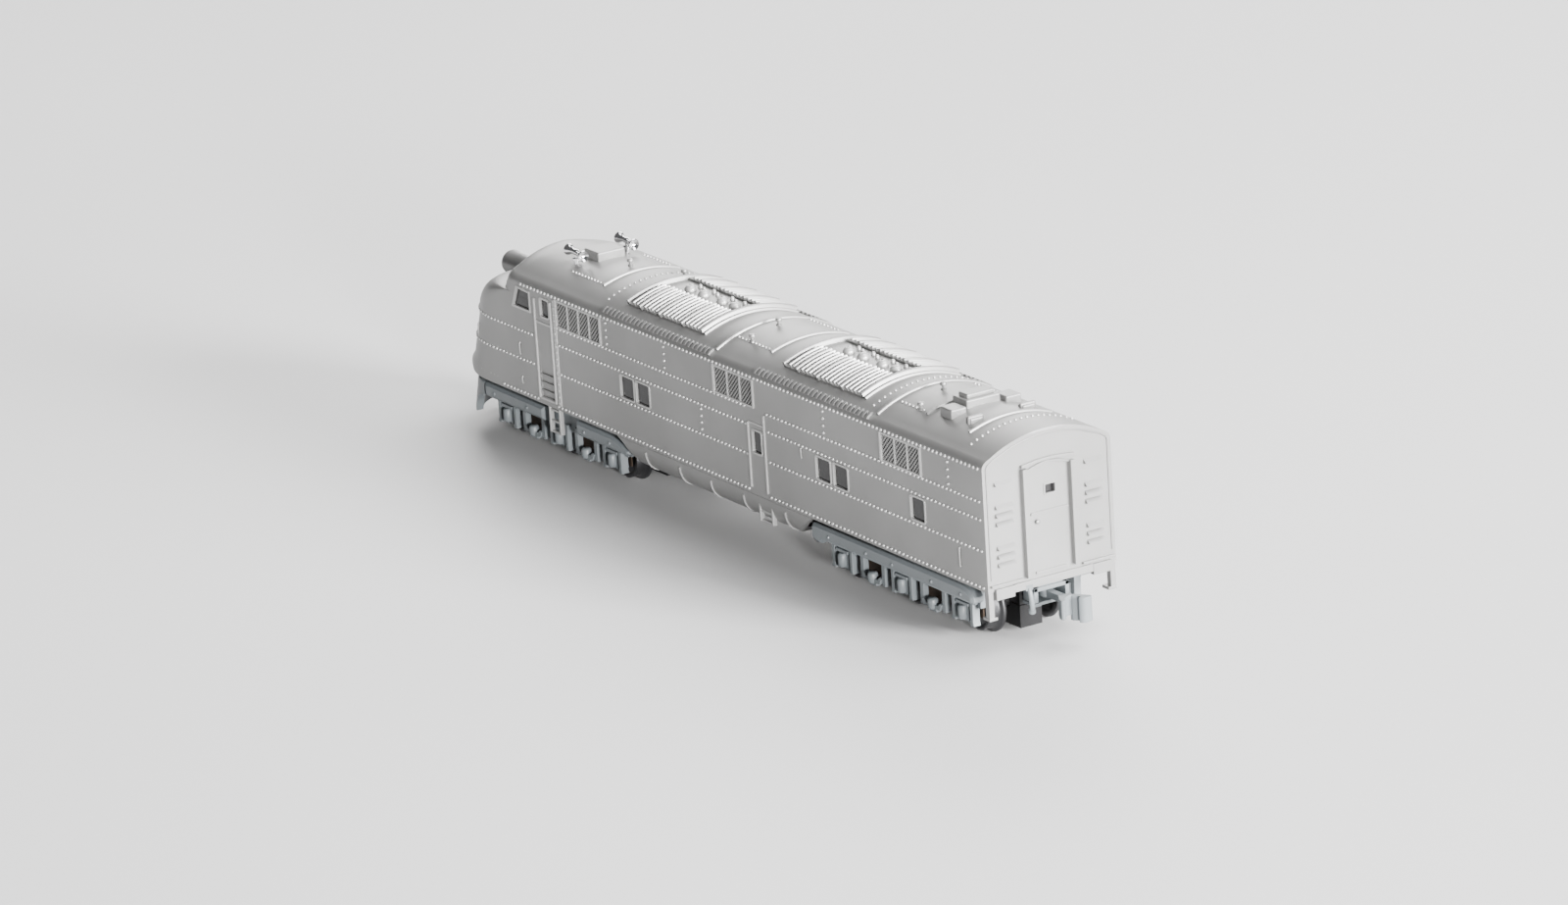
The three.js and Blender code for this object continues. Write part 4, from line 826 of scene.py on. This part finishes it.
# The window glazing is near black: painted shade for the dark inside behind it.
glazing = glassy("glazing_painted_shade", (0.016, 0.0155, 0.016), 0.13, 2500)
dome = Shape().turn('x', [(0, 62.9), (1.1, 62.9), (1.1, 63.8), (1.02, 64.05), (0.8, 64.25), (0.5, 64.4), (0, 64.47)],
                    32, (0, 0, LAMP_Z))
lens = dome.make("lamp_lens", glassy("lamp_glass", (0.55, 0.56, 0.55), 0.08, 1800), "chassis", sharp=50)
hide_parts("headlight_lens")

def screen_x(y, z):
    """Front of the skin at one point of the windscreen band."""
    front, side = nose_at(z)
    share = min(1.0, abs(y) / half_at(z))
    return side + (front - side) * max(0.0, 1 - share ** PLAN_POWER) ** (1 / PLAN_POWER)

screen_frames = Shape()
for s in (1, -1):
    n, verts, faces = len(SCREEN_PANE), [], []
    for loop, (by, lift) in enumerate(((0.34, -0.25), (0.34, 0.14), (0.0, 0.14), (0.0, -0.5))):
        line = grown_outline([(s * y, z) for y, z in SCREEN_PANE], by)
        verts += [(screen_x(y, z) + lift, y, z) for y, z in line]
        a, b = loop * n, (loop + 1) % 4 * n
        for i in range(n):
            k = (i + 1) % n
            faces.append((a + i, a + k, b + k, b + i)[::s])
    screen_frames.add(verts, faces)
screen_frames.make("screen_frames", silver, "chassis", 0.04)
cab_glass = hull("cab_glass_outer", 0.22, 15.0)
cab_core = hull("cab_glass_core", 0.85, 14.0)
zone = Shape().block(37.9, 60, -CLEAR, CLEAR, 20.05, 24.95).make("cab_glass_zone", glazing, None)
lamp_room = Shape().block(48, 60, -1.8, 1.8, 19, 22.7).make("lamp_room", glazing, None)
carve(cab_glass, zone, 'INTERSECT')
carve(cab_glass, cab_core)
carve(cab_glass, lamp_room)
cab_window_insert = settle(cab_glass, "cab_window_insert", glazing, 30, (cab_core, zone, lamp_room))
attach(cab_window_insert, "chassis")
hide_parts("cab_glazing")
for s, side in ((1, "left"), (-1, "right")):
    strip = Shape()
    for x0, x1 in WINDOWS:
        strip.block(x0 - 0.3, x1 + 0.3, s * 8.1, s * 8.75, WINDOW_LOW - 0.3, WINDOW_TOP + 0.3)
        strip.block(x0 + 0.05, x1 - 0.05, s * 8.6, s * 9.27, WINDOW_LOW + 0.05, WINDOW_TOP - 0.05)
    strip.block(-50.3, 22.3, s * 8.05, s * 8.4, 13.2, 17.4)
    insert = strip.make(f"window_insert_{side}", glazing, "chassis", 0.06)
    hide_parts(f"side_glazing_{side}")
door_pane = Shape().block(-62.0, -61.15, -1.3, 0.8, 18.5, 20.3).make("door_pane", glazing, "chassis", 0.06)
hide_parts("rear_door_glazing")

# ---- Rear end ----
# A flat end wall: a door between two upright strips under an arched hood, small louvres on
# both sides, sill ledges and the corner legs that carry the end steps.
end = Shape()
for y, low, top in ((3.62, 8.9, 22.7), (-3.4, 9.1, 22.4)):
    end.block(REAR_X - 0.7, REAR_X + 0.2, y - 0.36, y + 0.36, low, top)
for half, base, rise, thick, count, out in ((3.95, 22.8, 0.35, 0.38, 12, 0.44), (3.3, 22.05, 0.72, 0.3, 14, 0.3)):
    arch = [(half - 2 * half * i / count, base + rise * math.sin(math.pi * i / count)) for i in range(count + 1)]
    end.push('x', arch + [(y, z + thick) for y, z in reversed(arch)], REAR_X - out, REAR_X + 0.2)
end.block(REAR_X - 0.2, REAR_X + 0.2, -2.75, 2.75, 16.5, 16.82)
end.block(REAR_X - 0.2, REAR_X + 0.2, -2.0, 2.4, 9.0, 9.3)
for s in (1, -1):
    end.block(REAR_X - 0.42, REAR_X + 0.2, s * 4.4, s * 9.1, 8.72, 9.0)
    end.block(REAR_X - 0.42, REAR_X + 0.3, s * 5.8, s * 8.5, 7.05, 8.45)
    end.push('y', [(-62.4, 4.45), (-61.6, 4.45), (-61.5, 8.4), (-62.4, 8.4)], s * 8.6, s * 9.35)
    end.block(-62.42, -61.0, s * 8.2, s * 9.4, 4.42, 4.8)
end.block(REAR_X - 0.38, REAR_X + 0.3, -5.8, 5.8, 7.5, 8.5)
window = [(y, z) for y, z in rounded(-0.95, 0.45, 18.85, 19.95, 0.1, 2)]
ring(end, 'x', grown_outline(window, 0.28), window, REAR_X + 0.3, REAR_X - 0.08)
bead = [(HALF_WIDTH - 0.55, 9.6), (HALF_WIDTH - 0.55, EAVE_Z)]
bead += [(y - 0.5, z - 0.25) for y, z in (eave(0.5, 0), eave(1.0, 0))]
bead += [(y, roof_z(y) - 0.6) for y in (7.0, 5.0, 2.5)]
bead = bead + [(0.0, roof_z(0) - 0.6)] + [(-y, z) for y, z in reversed(bead)]
end.tube([(REAR_X - 0.02, y, z) for y, z in bead], 0.12, 6)
end.make("end_trim", silver, "chassis", 0.08)
door_knob = Shape().turn('x', [(0, -0.42), (0.2, -0.4), (0.3, -0.3), (0.3, -0.2), (0.14, -0.12), (0.14, 0.2),
                               (0, 0.2)], 16, (REAR_X, 1.9, 15.6))
door_knob.make("door_knob", silver, "chassis", sharp=50)
for s, side in ((1, "left"), (-1, "right")):
    for tag, z, count in (("top", 21.4, 1), ("middle", 16.3, 3), ("low", 11.1, 3)):
        louvre = Shape().push('y', [(REAR_X + 0.1, z - 0.05), (REAR_X - 0.45, z - 0.02), (REAR_X - 0.45, z + 0.1),
                                    (REAR_X - 0.02, z + 0.5), (REAR_X + 0.1, z + 0.5)], s * 5.35, s * 7.85)
        row_of(f"end_louvres_{tag}_{side}", louvre, count, (0, 0, 1.08), silver, "chassis")

# ---- Skirt tray and ladders ----
# The tray closes the body between the trucks with rounded lower corners and thin upright
# seams; its ends sweep up over the wheels. Step ladders hang below the cab and middle doors.
TRAY_OUT = ((9.45, 8.05), (9.43, 7.4), (9.35, 6.8), (9.2, 6.25), (8.95, 5.75), (8.6, 5.3), (8.15, 4.95), (7.6, 4.7),
            (7.0, 4.6))
TRAY_IN = ((8.55, 8.05), (8.52, 7.4), (8.4, 6.8), (8.2, 6.3), (7.9, 5.9), (7.5, 5.6), (7.0, 5.45))
TRAY_HALF = 23.4
tray_section = list(TRAY_OUT) + [(-y, z) for y, z in reversed(TRAY_OUT)]
tray_section += [(-y, z) for y, z in TRAY_IN] + list(reversed(TRAY_IN))
tray = Shape().push('x', tray_section, -TRAY_HALF, TRAY_HALF).make("tray_blank", silver, None)
end_line = [(-TRAY_HALF, 8.1), (-22.2, 7.5), (-20.9, 6.6), (-19.6, 5.7), (-18.3, 4.9), (-17.2, 4.0)]
side_line = end_line + [(-x, z) for x, z in reversed(end_line)]
side_view = Shape().push('y', side_line, -CLEAR, CLEAR).make("tray_side", silver, None)
carve(tray, side_view, 'INTERSECT')
tray_piece = settle(tray, "tray_skirt", silver, 32, (side_view,))
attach(tray_piece, "chassis")
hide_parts("skirt_tray")
seams = Shape()
for s in (1, -1):
    for x in (16.4, 8.1, 0.6, -7.2, -17.0):
        inner = [(s * (y - 0.25), z + 0.15) for y, z in TRAY_OUT[1:-1]]
        outer = [(s * (y + 0.14), z - 0.08) for y, z in TRAY_OUT[1:-1]]
        seams.push('x', outer + inner[::-1], x - 0.13, x + 0.13)
# The seams take the lighter edge silver, a painted highlight.
seams.make("tray_seams", edge_highlight_silver, "chassis")
ladders = Shape()
for s in (1, -1):
    for x0, x1, low, top in ((38.0, 40.9, 4.5, 8.6), (-13.9, -10.6, 4.72, 8.3)):
        for x in (x0 + 0.2, x1 - 0.2):
            ladders.block(x - 0.2, x + 0.2, s * 8.75, s * 9.38, low, top)
        for z in spaced(low + 0.15, top - 0.9, 1.3):
            ladders.block(x0 + 0.1, x1 - 0.1, s * 8.8, s * 9.3, z - 0.15, z + 0.15)
# The ladders take the lighter edge silver, a painted highlight.
ladders.make("step_ladders", edge_highlight_silver, "chassis", 0.1)

# ---- Truck side frames ----
# Each truck is one grey plastic moulding: a top plate, side frames with journal boxes, spring
# seats and equaliser bars, and a smooth valance with a chamfered edge along its upper part.
grey = surface("truck_grey", ((0.115, 0.129, 0.136), (0.14, 0.155, 0.163)), 0.0, 0.46, 6000, 0.000005, 90.0, 0.07, 0.1)

def plate(shape, outline, y_in, y_mid, y_out, inset):
    """A valance panel whose outer face is drawn in from its edge, leaving a chamfer all round."""
    front = grown_outline(outline, -inset)
    n = len(outline)
    verts = [(x, y, z) for y, line in ((y_in, outline), (y_mid, outline), (y_out, front)) for x, z in line]
    faces = [tuple(range(n)), tuple(reversed(range(2 * n, 3 * n)))]
    for row in (0, n):
        faces += [(row + i, row + n + i, row + n + (i + 1) % n, row + (i + 1) % n) for i in range(n)]
    if (signed_area(outline) < 0) != (y_out < y_in):
        faces = [face[::-1] for face in faces]
    return shape.add(verts, faces)

TRUCK_X, AXLE_PITCH, AXLE_Z = 40.95, 13.4, 3.45
PLATE_LOW, PLATE_TOP, FRAME_IN, FRAME_OUT = 7.0, 7.4, 6.45, 7.8
SKIRTS = {
    "front": ([(42.9, 5.4), (58.2, 5.4), (58.2, 7.35), (42.9, 7.35)],
              [(21.5, 5.7), (22.2, 5.4), (34.6, 5.4), (34.6, 7.35), (26.0, 7.35), (24.2, 7.1), (22.6, 6.7),
               (21.5, 6.3)]),
    "rear": ([(-58.3, 5.7), (-57.9, 5.4), (-24.9, 5.4), (-24.6, 5.05), (-24.1, 4.9), (-22.9, 4.9), (-22.4, 5.15),
              (-22.2, 5.6), (-22.2, 6.9), (-22.4, 7.2), (-22.9, 7.4), (-55.8, 7.4), (-57.0, 7.2), (-57.9, 6.8),
              (-58.3, 6.3)],),
}

FRAME_LEG = ((-1.5, 4.2), (-1.5, 2.4), (-1.1, 2.0), (1.1, 2.0), (1.5, 2.4), (1.5, 4.2))

def side_outline(x):
    """The frame seen from the side: a leg over each axle and a spring seat between two axles."""
    points = [(x - 16.6, PLATE_TOP), (x - 16.6, 4.4)]
    for i in (-1, 0, 1):
        axle = x + i * AXLE_PITCH
        points += [(axle + dx, z) for dx, z in FRAME_LEG]
        if i < 1:
            seat = axle + AXLE_PITCH / 2
            points += [(seat - 2.8, 4.9), (seat + 2.8, 4.9)]
    return points + [(x + 16.6, 4.4), (x + 16.6, PLATE_TOP)]

JOURNAL_PIN = [(0, 2.5), (0.45, 2.5), (0.62, 2.7), (0.62, 4.1), (0.45, 4.3), (0, 4.3)]
SEAT_PIN = [(0, 2.1), (0.5, 2.1), (0.68, 2.3), (0.68, 3.3), (0.5, 3.5), (0, 3.5)]
PEDESTAL = ((-0.36, 5.6), (-0.3, 2.6), (-0.45, 2.0), (0.45, 2.0), (0.3, 2.6), (0.36, 5.6))
SPRING_SEAT = ((-2.2, 3.0), (-1.75, 2.2), (1.75, 2.2), (2.2, 3.0), (1.7, 3.15), (1.3, 2.75), (-1.3, 2.75), (-1.7, 3.15))
BOLT = ((0, 8.9), (0.26, 8.9), (0.26, 9.2), (0.16, 9.3), (0, 9.32))
BOLT_PLACES = (-14.9, -8.5, 0.2, 6.1, 14.6)
for t, name in ((1, "front"), (-1, "rear")):
    x = t * TRUCK_X
    truck = Shape()
    for y0, y1 in ((1.75, 7.7), (-7.7, -1.75)):
        truck.block(x - 17.4, x + 17.4, y0, y1, PLATE_LOW, PLATE_TOP)
    for x0, x1 in ((x - 17.4, x - 16.5), (x + 16.5, x + 17.4)):
        truck.block(x0, x1, -1.75, 1.75, PLATE_LOW, PLATE_TOP)
    bosses = Shape()
    for s in (1, -1):
        truck.push('y', side_outline(x), s * FRAME_IN, s * (FRAME_OUT - 0.35))
        truck.block(x - 2, x + 2, s * 5.2, s * 5.95, PLATE_TOP - 0.1, 7.95)
        for skirt in SKIRTS[name]:
            plate(truck, skirt, s * 7.4, s * 8.8, s * 9.15, 0.4)
            truck.block(min(p[0] for p in skirt) + 1.2, max(p[0] for p in skirt) - 1.2, s * 6.5, s * 7.9, 4.9, 5.6)
        for i in (-1, 0, 1):
            axle = x + i * AXLE_PITCH
            truck.block(axle - 1.0, axle + 1.0, s * 7.2, s * 7.8, 2.35, 4.35)
            truck.block(axle - 1.35, axle + 1.35, s * 7.2, s * 8.1, 4.35, 4.75)
            bosses.turn('z', JOURNAL_PIN, 18, (axle, s * 7.95, 0))
            for px in (axle + 2.0, axle - 2.0):
                truck.push('y', [(px + dx, z) for dx, z in PEDESTAL], s * 7.0, s * 8.05)
            if i < 1:
                seat = axle + AXLE_PITCH / 2
                truck.push('y', [(seat + dx, z) for dx, z in SPRING_SEAT], s * 7.2, s * 8.15)
                truck.block(seat - 0.85, seat + 0.85, s * 7.2, s * 8.0, 1.75, 2.3)
                for px in (seat + 2.4, seat - 2.4):
                    truck.block(px - 0.4, px + 0.4, s * 7.1, s * 7.9, 2.1, 5.6)
                bosses.turn('z', SEAT_PIN, 18, (seat, s * 7.9, 0))
        for bolt_x in (x + dx for dx in BOLT_PLACES):
            if any(min(p[0] for p in skirt) + 0.8 < bolt_x < max(p[0] for p in skirt) - 0.8 for skirt in SKIRTS[name]):
                bosses.turn('y', [(r, s * y) for r, y in BOLT][::s], 12, (bolt_x, 0, 6.3))
    frame_piece = truck.make(f"truck_moulding_{name}", grey, f"{name}_truck", 0.09)
    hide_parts(f"truck_frame_{name}")
    bosses.make(f"truck_fittings_{name}", grey, f"{name}_truck", sharp=50)

# ---- Wheels and axles ----
# Blackened metal wheelsets turned in one piece: flanged treads, dished faces and needle ends
# that run in the contact strips. The outer two axles of each truck are driven.
wheel_metal = surface("wheel_metal", ((0.06, 0.06, 0.063), (0.085, 0.085, 0.088)), 0.9, 0.40, 7000, 0.000004, 200.0)
one_wheel = [
    (0, -6.8), (0.22, -6.72), (0.4, -6.55), (0.4, -6.0), (0.95, -5.95), (1.0, -5.82), (1.1, -5.72), (2.05, -5.62),
    (2.3, -5.66), (2.42, -5.85), (2.5, -5.93), (2.8, -5.95), (2.86, -5.88), (2.87, -4.75), (2.93, -4.5), (3.1, -4.38),
    (3.35, -4.28), (3.43, -4.18), (3.45, -4.05), (3.42, -3.86), (3.34, -3.76), (3.1, -3.75), (2.6, -3.75),
    (2.5, -3.85), (1.5, -3.95), (1.3, -3.8), (0.78, -3.75), (0.72, -3.5)]
profile = one_wheel + [(r, -y) for r, y in reversed(one_wheel)]
for t, name in ((1, "front"), (-1, "rear")):
    for number in (1, 2, 3):
        x = t * TRUCK_X + (2 - number) * AXLE_PITCH
        wheels = Shape().turn('y', profile, 48, (x, 0, AXLE_Z))
        wheels = wheels.make(f"wheels_{name}_{number}", wheel_metal, f"{name}_axle_{number}", sharp=50)
        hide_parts(f"wheelset_{name}_{number}")

# ---- Pilot ----
# The pilot is a thin flared apron carried by the front truck under the nose, with a rim along
# its lower edge and side arches cut away ahead of the first axle.
def pilot_ring(z, inset):
    """The level outline of the apron, which flares out towards its foot."""
    flare = (7.3 - z) * 0.27
    front, side, wide = 66.3 + flare - inset, 56.0 + flare - inset * 0.4, 9.1 - inset
    return both_sides([(50, wide)] + plan_curve(20, front, side, wide), z)

def pilot_block(inset, low, high, steps=6):
    """The closed volume of the apron between two levels."""
    rows = [pilot_ring(low + (high - low) * k / steps, inset) for k in range(steps + 1)]
    n = len(rows[0])
    faces = [tuple(reversed(range(n))), tuple(range(steps * n, (steps + 1) * n))]
    for k in range(steps):
        faces += [(k * n + j, k * n + (j + 1) % n, (k + 1) * n + (j + 1) % n, (k + 1) * n + j) for j in range(n)]
    return Shape().add([p for row in rows for p in row], faces)

apron = pilot_block(0.0, 2.1, 7.3).make("pilot_blank", grey, None)
round_edges(apron, 0.18, 3, 60)
hollow = pilot_block(0.9, 1.0, 6.5).make("pilot_hollow", grey, None)
behind = Shape().block(50, 59.3, -7.6, 7.6, 0, 9).make("pilot_behind", grey, None)
side_arch = [(40, -1), (40, 9), (58.5, 9), (58.5, 5.4), (60.0, 5.2), (60.9, 4.85), (61.6, 4.3), (62.1, 3.6),
             (62.4, 2.8), (62.55, 2.0), (62.6, -1)]
arch_tool = Shape().push('y', side_arch, -CLEAR, CLEAR).make("pilot_arch", grey, None)
for tool in (hollow, behind, arch_tool):
    carve(apron, tool)
pilot = settle(apron, "pilot_apron", grey, 35, (hollow, behind, arch_tool))
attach(pilot, "front_truck")
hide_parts("front_pilot")

# ---- Rear coupler ----
# A grey plastic knuckle coupler on a pivot post in a draft box under the rear floor, with a
# pocket lid below it and a brake hose beside it.
knuckle = Shape()
knuckle.turn('z', [(0.56, 5.35), (0.85, 5.35), (0.85, 6.25), (0.56, 6.25), (0.56, 5.35)], 24, (-60.9, 0, 0))
knuckle.push('y', [(-65.4, 5.35), (-61.6, 5.35), (-61.6, 6.25), (-65.4, 6.25)], -0.5, 0.5)
knuckle.push('z', [(-64.9, -0.9), (-64.9, 1.0), (-66.2, 1.75), (-66.9, 1.9), (-67.15, 1.6), (-66.7, 1.15),
                   (-66.1, 0.75), (-65.9, 0.2), (-65.9, -0.5)], 4.0, 6.55)
knuckle.push('z', [(-65.5, -0.9), (-67.2, -2.1), (-67.5, -2.2), (-67.7, -1.95), (-67.74, -1.1), (-67.5, -0.65),
                   (-67.15, -0.45), (-66.95, -0.9), (-66.5, -0.85), (-66.0, -0.3), (-65.5, -0.3)], 3.25, 6.5)
coupler = knuckle.make("coupler_knuckle", grey, "coupler", 0.1)
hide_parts("rear_coupler")
draft = Shape()
for back, y0, y1, low, top in ((-62.15, 2.0, 2.6, 5.1, 7.0), (-62.15, -2.6, -2.0, 5.1, 7.0),
                               (-62.15, -2.6, 2.6, 6.5, 7.0), (-59.9, -2.6, 2.6, 5.1, 7.0),
                               (-61.9, -1.8, 1.8, 6.9, 7.95)):
    draft.block(back, -59.5, y0, y1, low, top)
draft.turn('z', [(0, 5.1), (0.42, 5.1), (0.45, 5.15), (0.45, 6.6), (0, 6.6)], 20, (-60.9, 0, 0))
pocket = draft.make("draft_box", grey, "chassis", 0.08)
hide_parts("coupler_pocket")
lid = Shape()
lid.push('z', [(-62.15, -2.6), (-59.5, -2.6), (-59.5, 2.6), (-62.15, 2.6), (-62.15, 1.6), (-61.9, 1.6),
               (-61.9, -1.6), (-62.15, -1.6)], 4.62, 5.04)
lid.turn('z', [(0, 4.45), (0.3, 4.45), (0.42, 4.5), (0.42, 4.7), (0, 4.7)], 16, (-60.2, 0, 0))
cover = lid.make("draft_box_lid", grey, "chassis", 0.06)
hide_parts("coupler_lid")
hose = Shape()
hose.tube([(-62.3, 3.7, 7.9), (-62.75, 3.7, 7.4), (-63.0, 3.65, 6.6), (-63.05, 3.6, 5.8), (-62.95, 3.5, 5.1),
           (-62.7, 3.35, 4.6)], 0.34, 12)
hose.tube([(-62.72, 3.36, 4.75), (-62.6, 3.3, 4.3)], 0.45, 12)
hose.block(-62.9, -62.1, 3.2, 4.2, 7.3, 8.0)
hose.make("brake_hose", grey, "chassis", sharp=60)

# ---- Works inside ----
# The weight halves, motor, gears, contacts and lighting board sit inside the body. They are
# seen in part below the skirts and through the windows, so each keeps its own finish, save the
# contact strips, whose bronze is darkened as painted shade for their place deep under the body.
finishes = {"clear_glazing": glazing, "grey_plastic": grey, "silver_shell": silver, "horn_plating": chrome,
            "wheel_steel": wheel_metal}
for slot, name, tones, metallic, roughness, grain, depth, patch, *more in (
        ("cast_frame", "cast_weight", ((0.22, 0.22, 0.225), (0.28, 0.28, 0.285)), 0.7, 0.52, 3500, 0.000012, 60.0),
        ("plain_steel", "bright_steel", ((0.52, 0.53, 0.54), (0.60, 0.61, 0.62)), 1.0, 0.30, 5200, 0.000004, 90.0),
        ("dark_nylon", "black_nylon", ((0.007, 0.007, 0.0075), (0.012, 0.012, 0.0125)), 0.0, 0.5, 4200, 0.000005, 70.0),
        ("white_acetal", "gear_acetal", ((0.66, 0.63, 0.55), (0.73, 0.70, 0.62)), 0.0, 0.48, 4000, 0.000005, 70.0),
        ("turned_brass", "turned_bronze", ((0.42, 0.28, 0.13), (0.50, 0.34, 0.17)), 1.0, 0.32, 4600, 0.000004, 80.0),
        ("board_laminate", "board_green", ((0.028, 0.085, 0.04), (0.04, 0.11, 0.055)), 0.0, 0.42, 5000, 0.000004,
         110.0, 0.06, 0.3)):
    finishes[slot] = surface(name, tones, metallic, roughness, grain, depth, patch, *more)
nylon = finishes["dark_nylon"].node_tree.nodes["Principled BSDF"]
nylon.inputs["Specular IOR Level"].default_value = 0.15
# The contact strips are given a near-black bronze: painted shade for their place deep under the body.
contact_painted_shade = surface("bronze_painted_shade", ((0.055, 0.040, 0.030), (0.085, 0.060, 0.042)), 0.8, 0.5, 4600, 0.000004, 80.0)
for part in frame["record"]["subparts"]:
    node = frame["nodes"][part["node"]]
    if not node.hide_render:
        node.data.materials.clear()
        is_contact = part["node"].startswith("contact_")
        node.data.materials.append(contact_painted_shade if is_contact else finishes[part["material_slot"]])
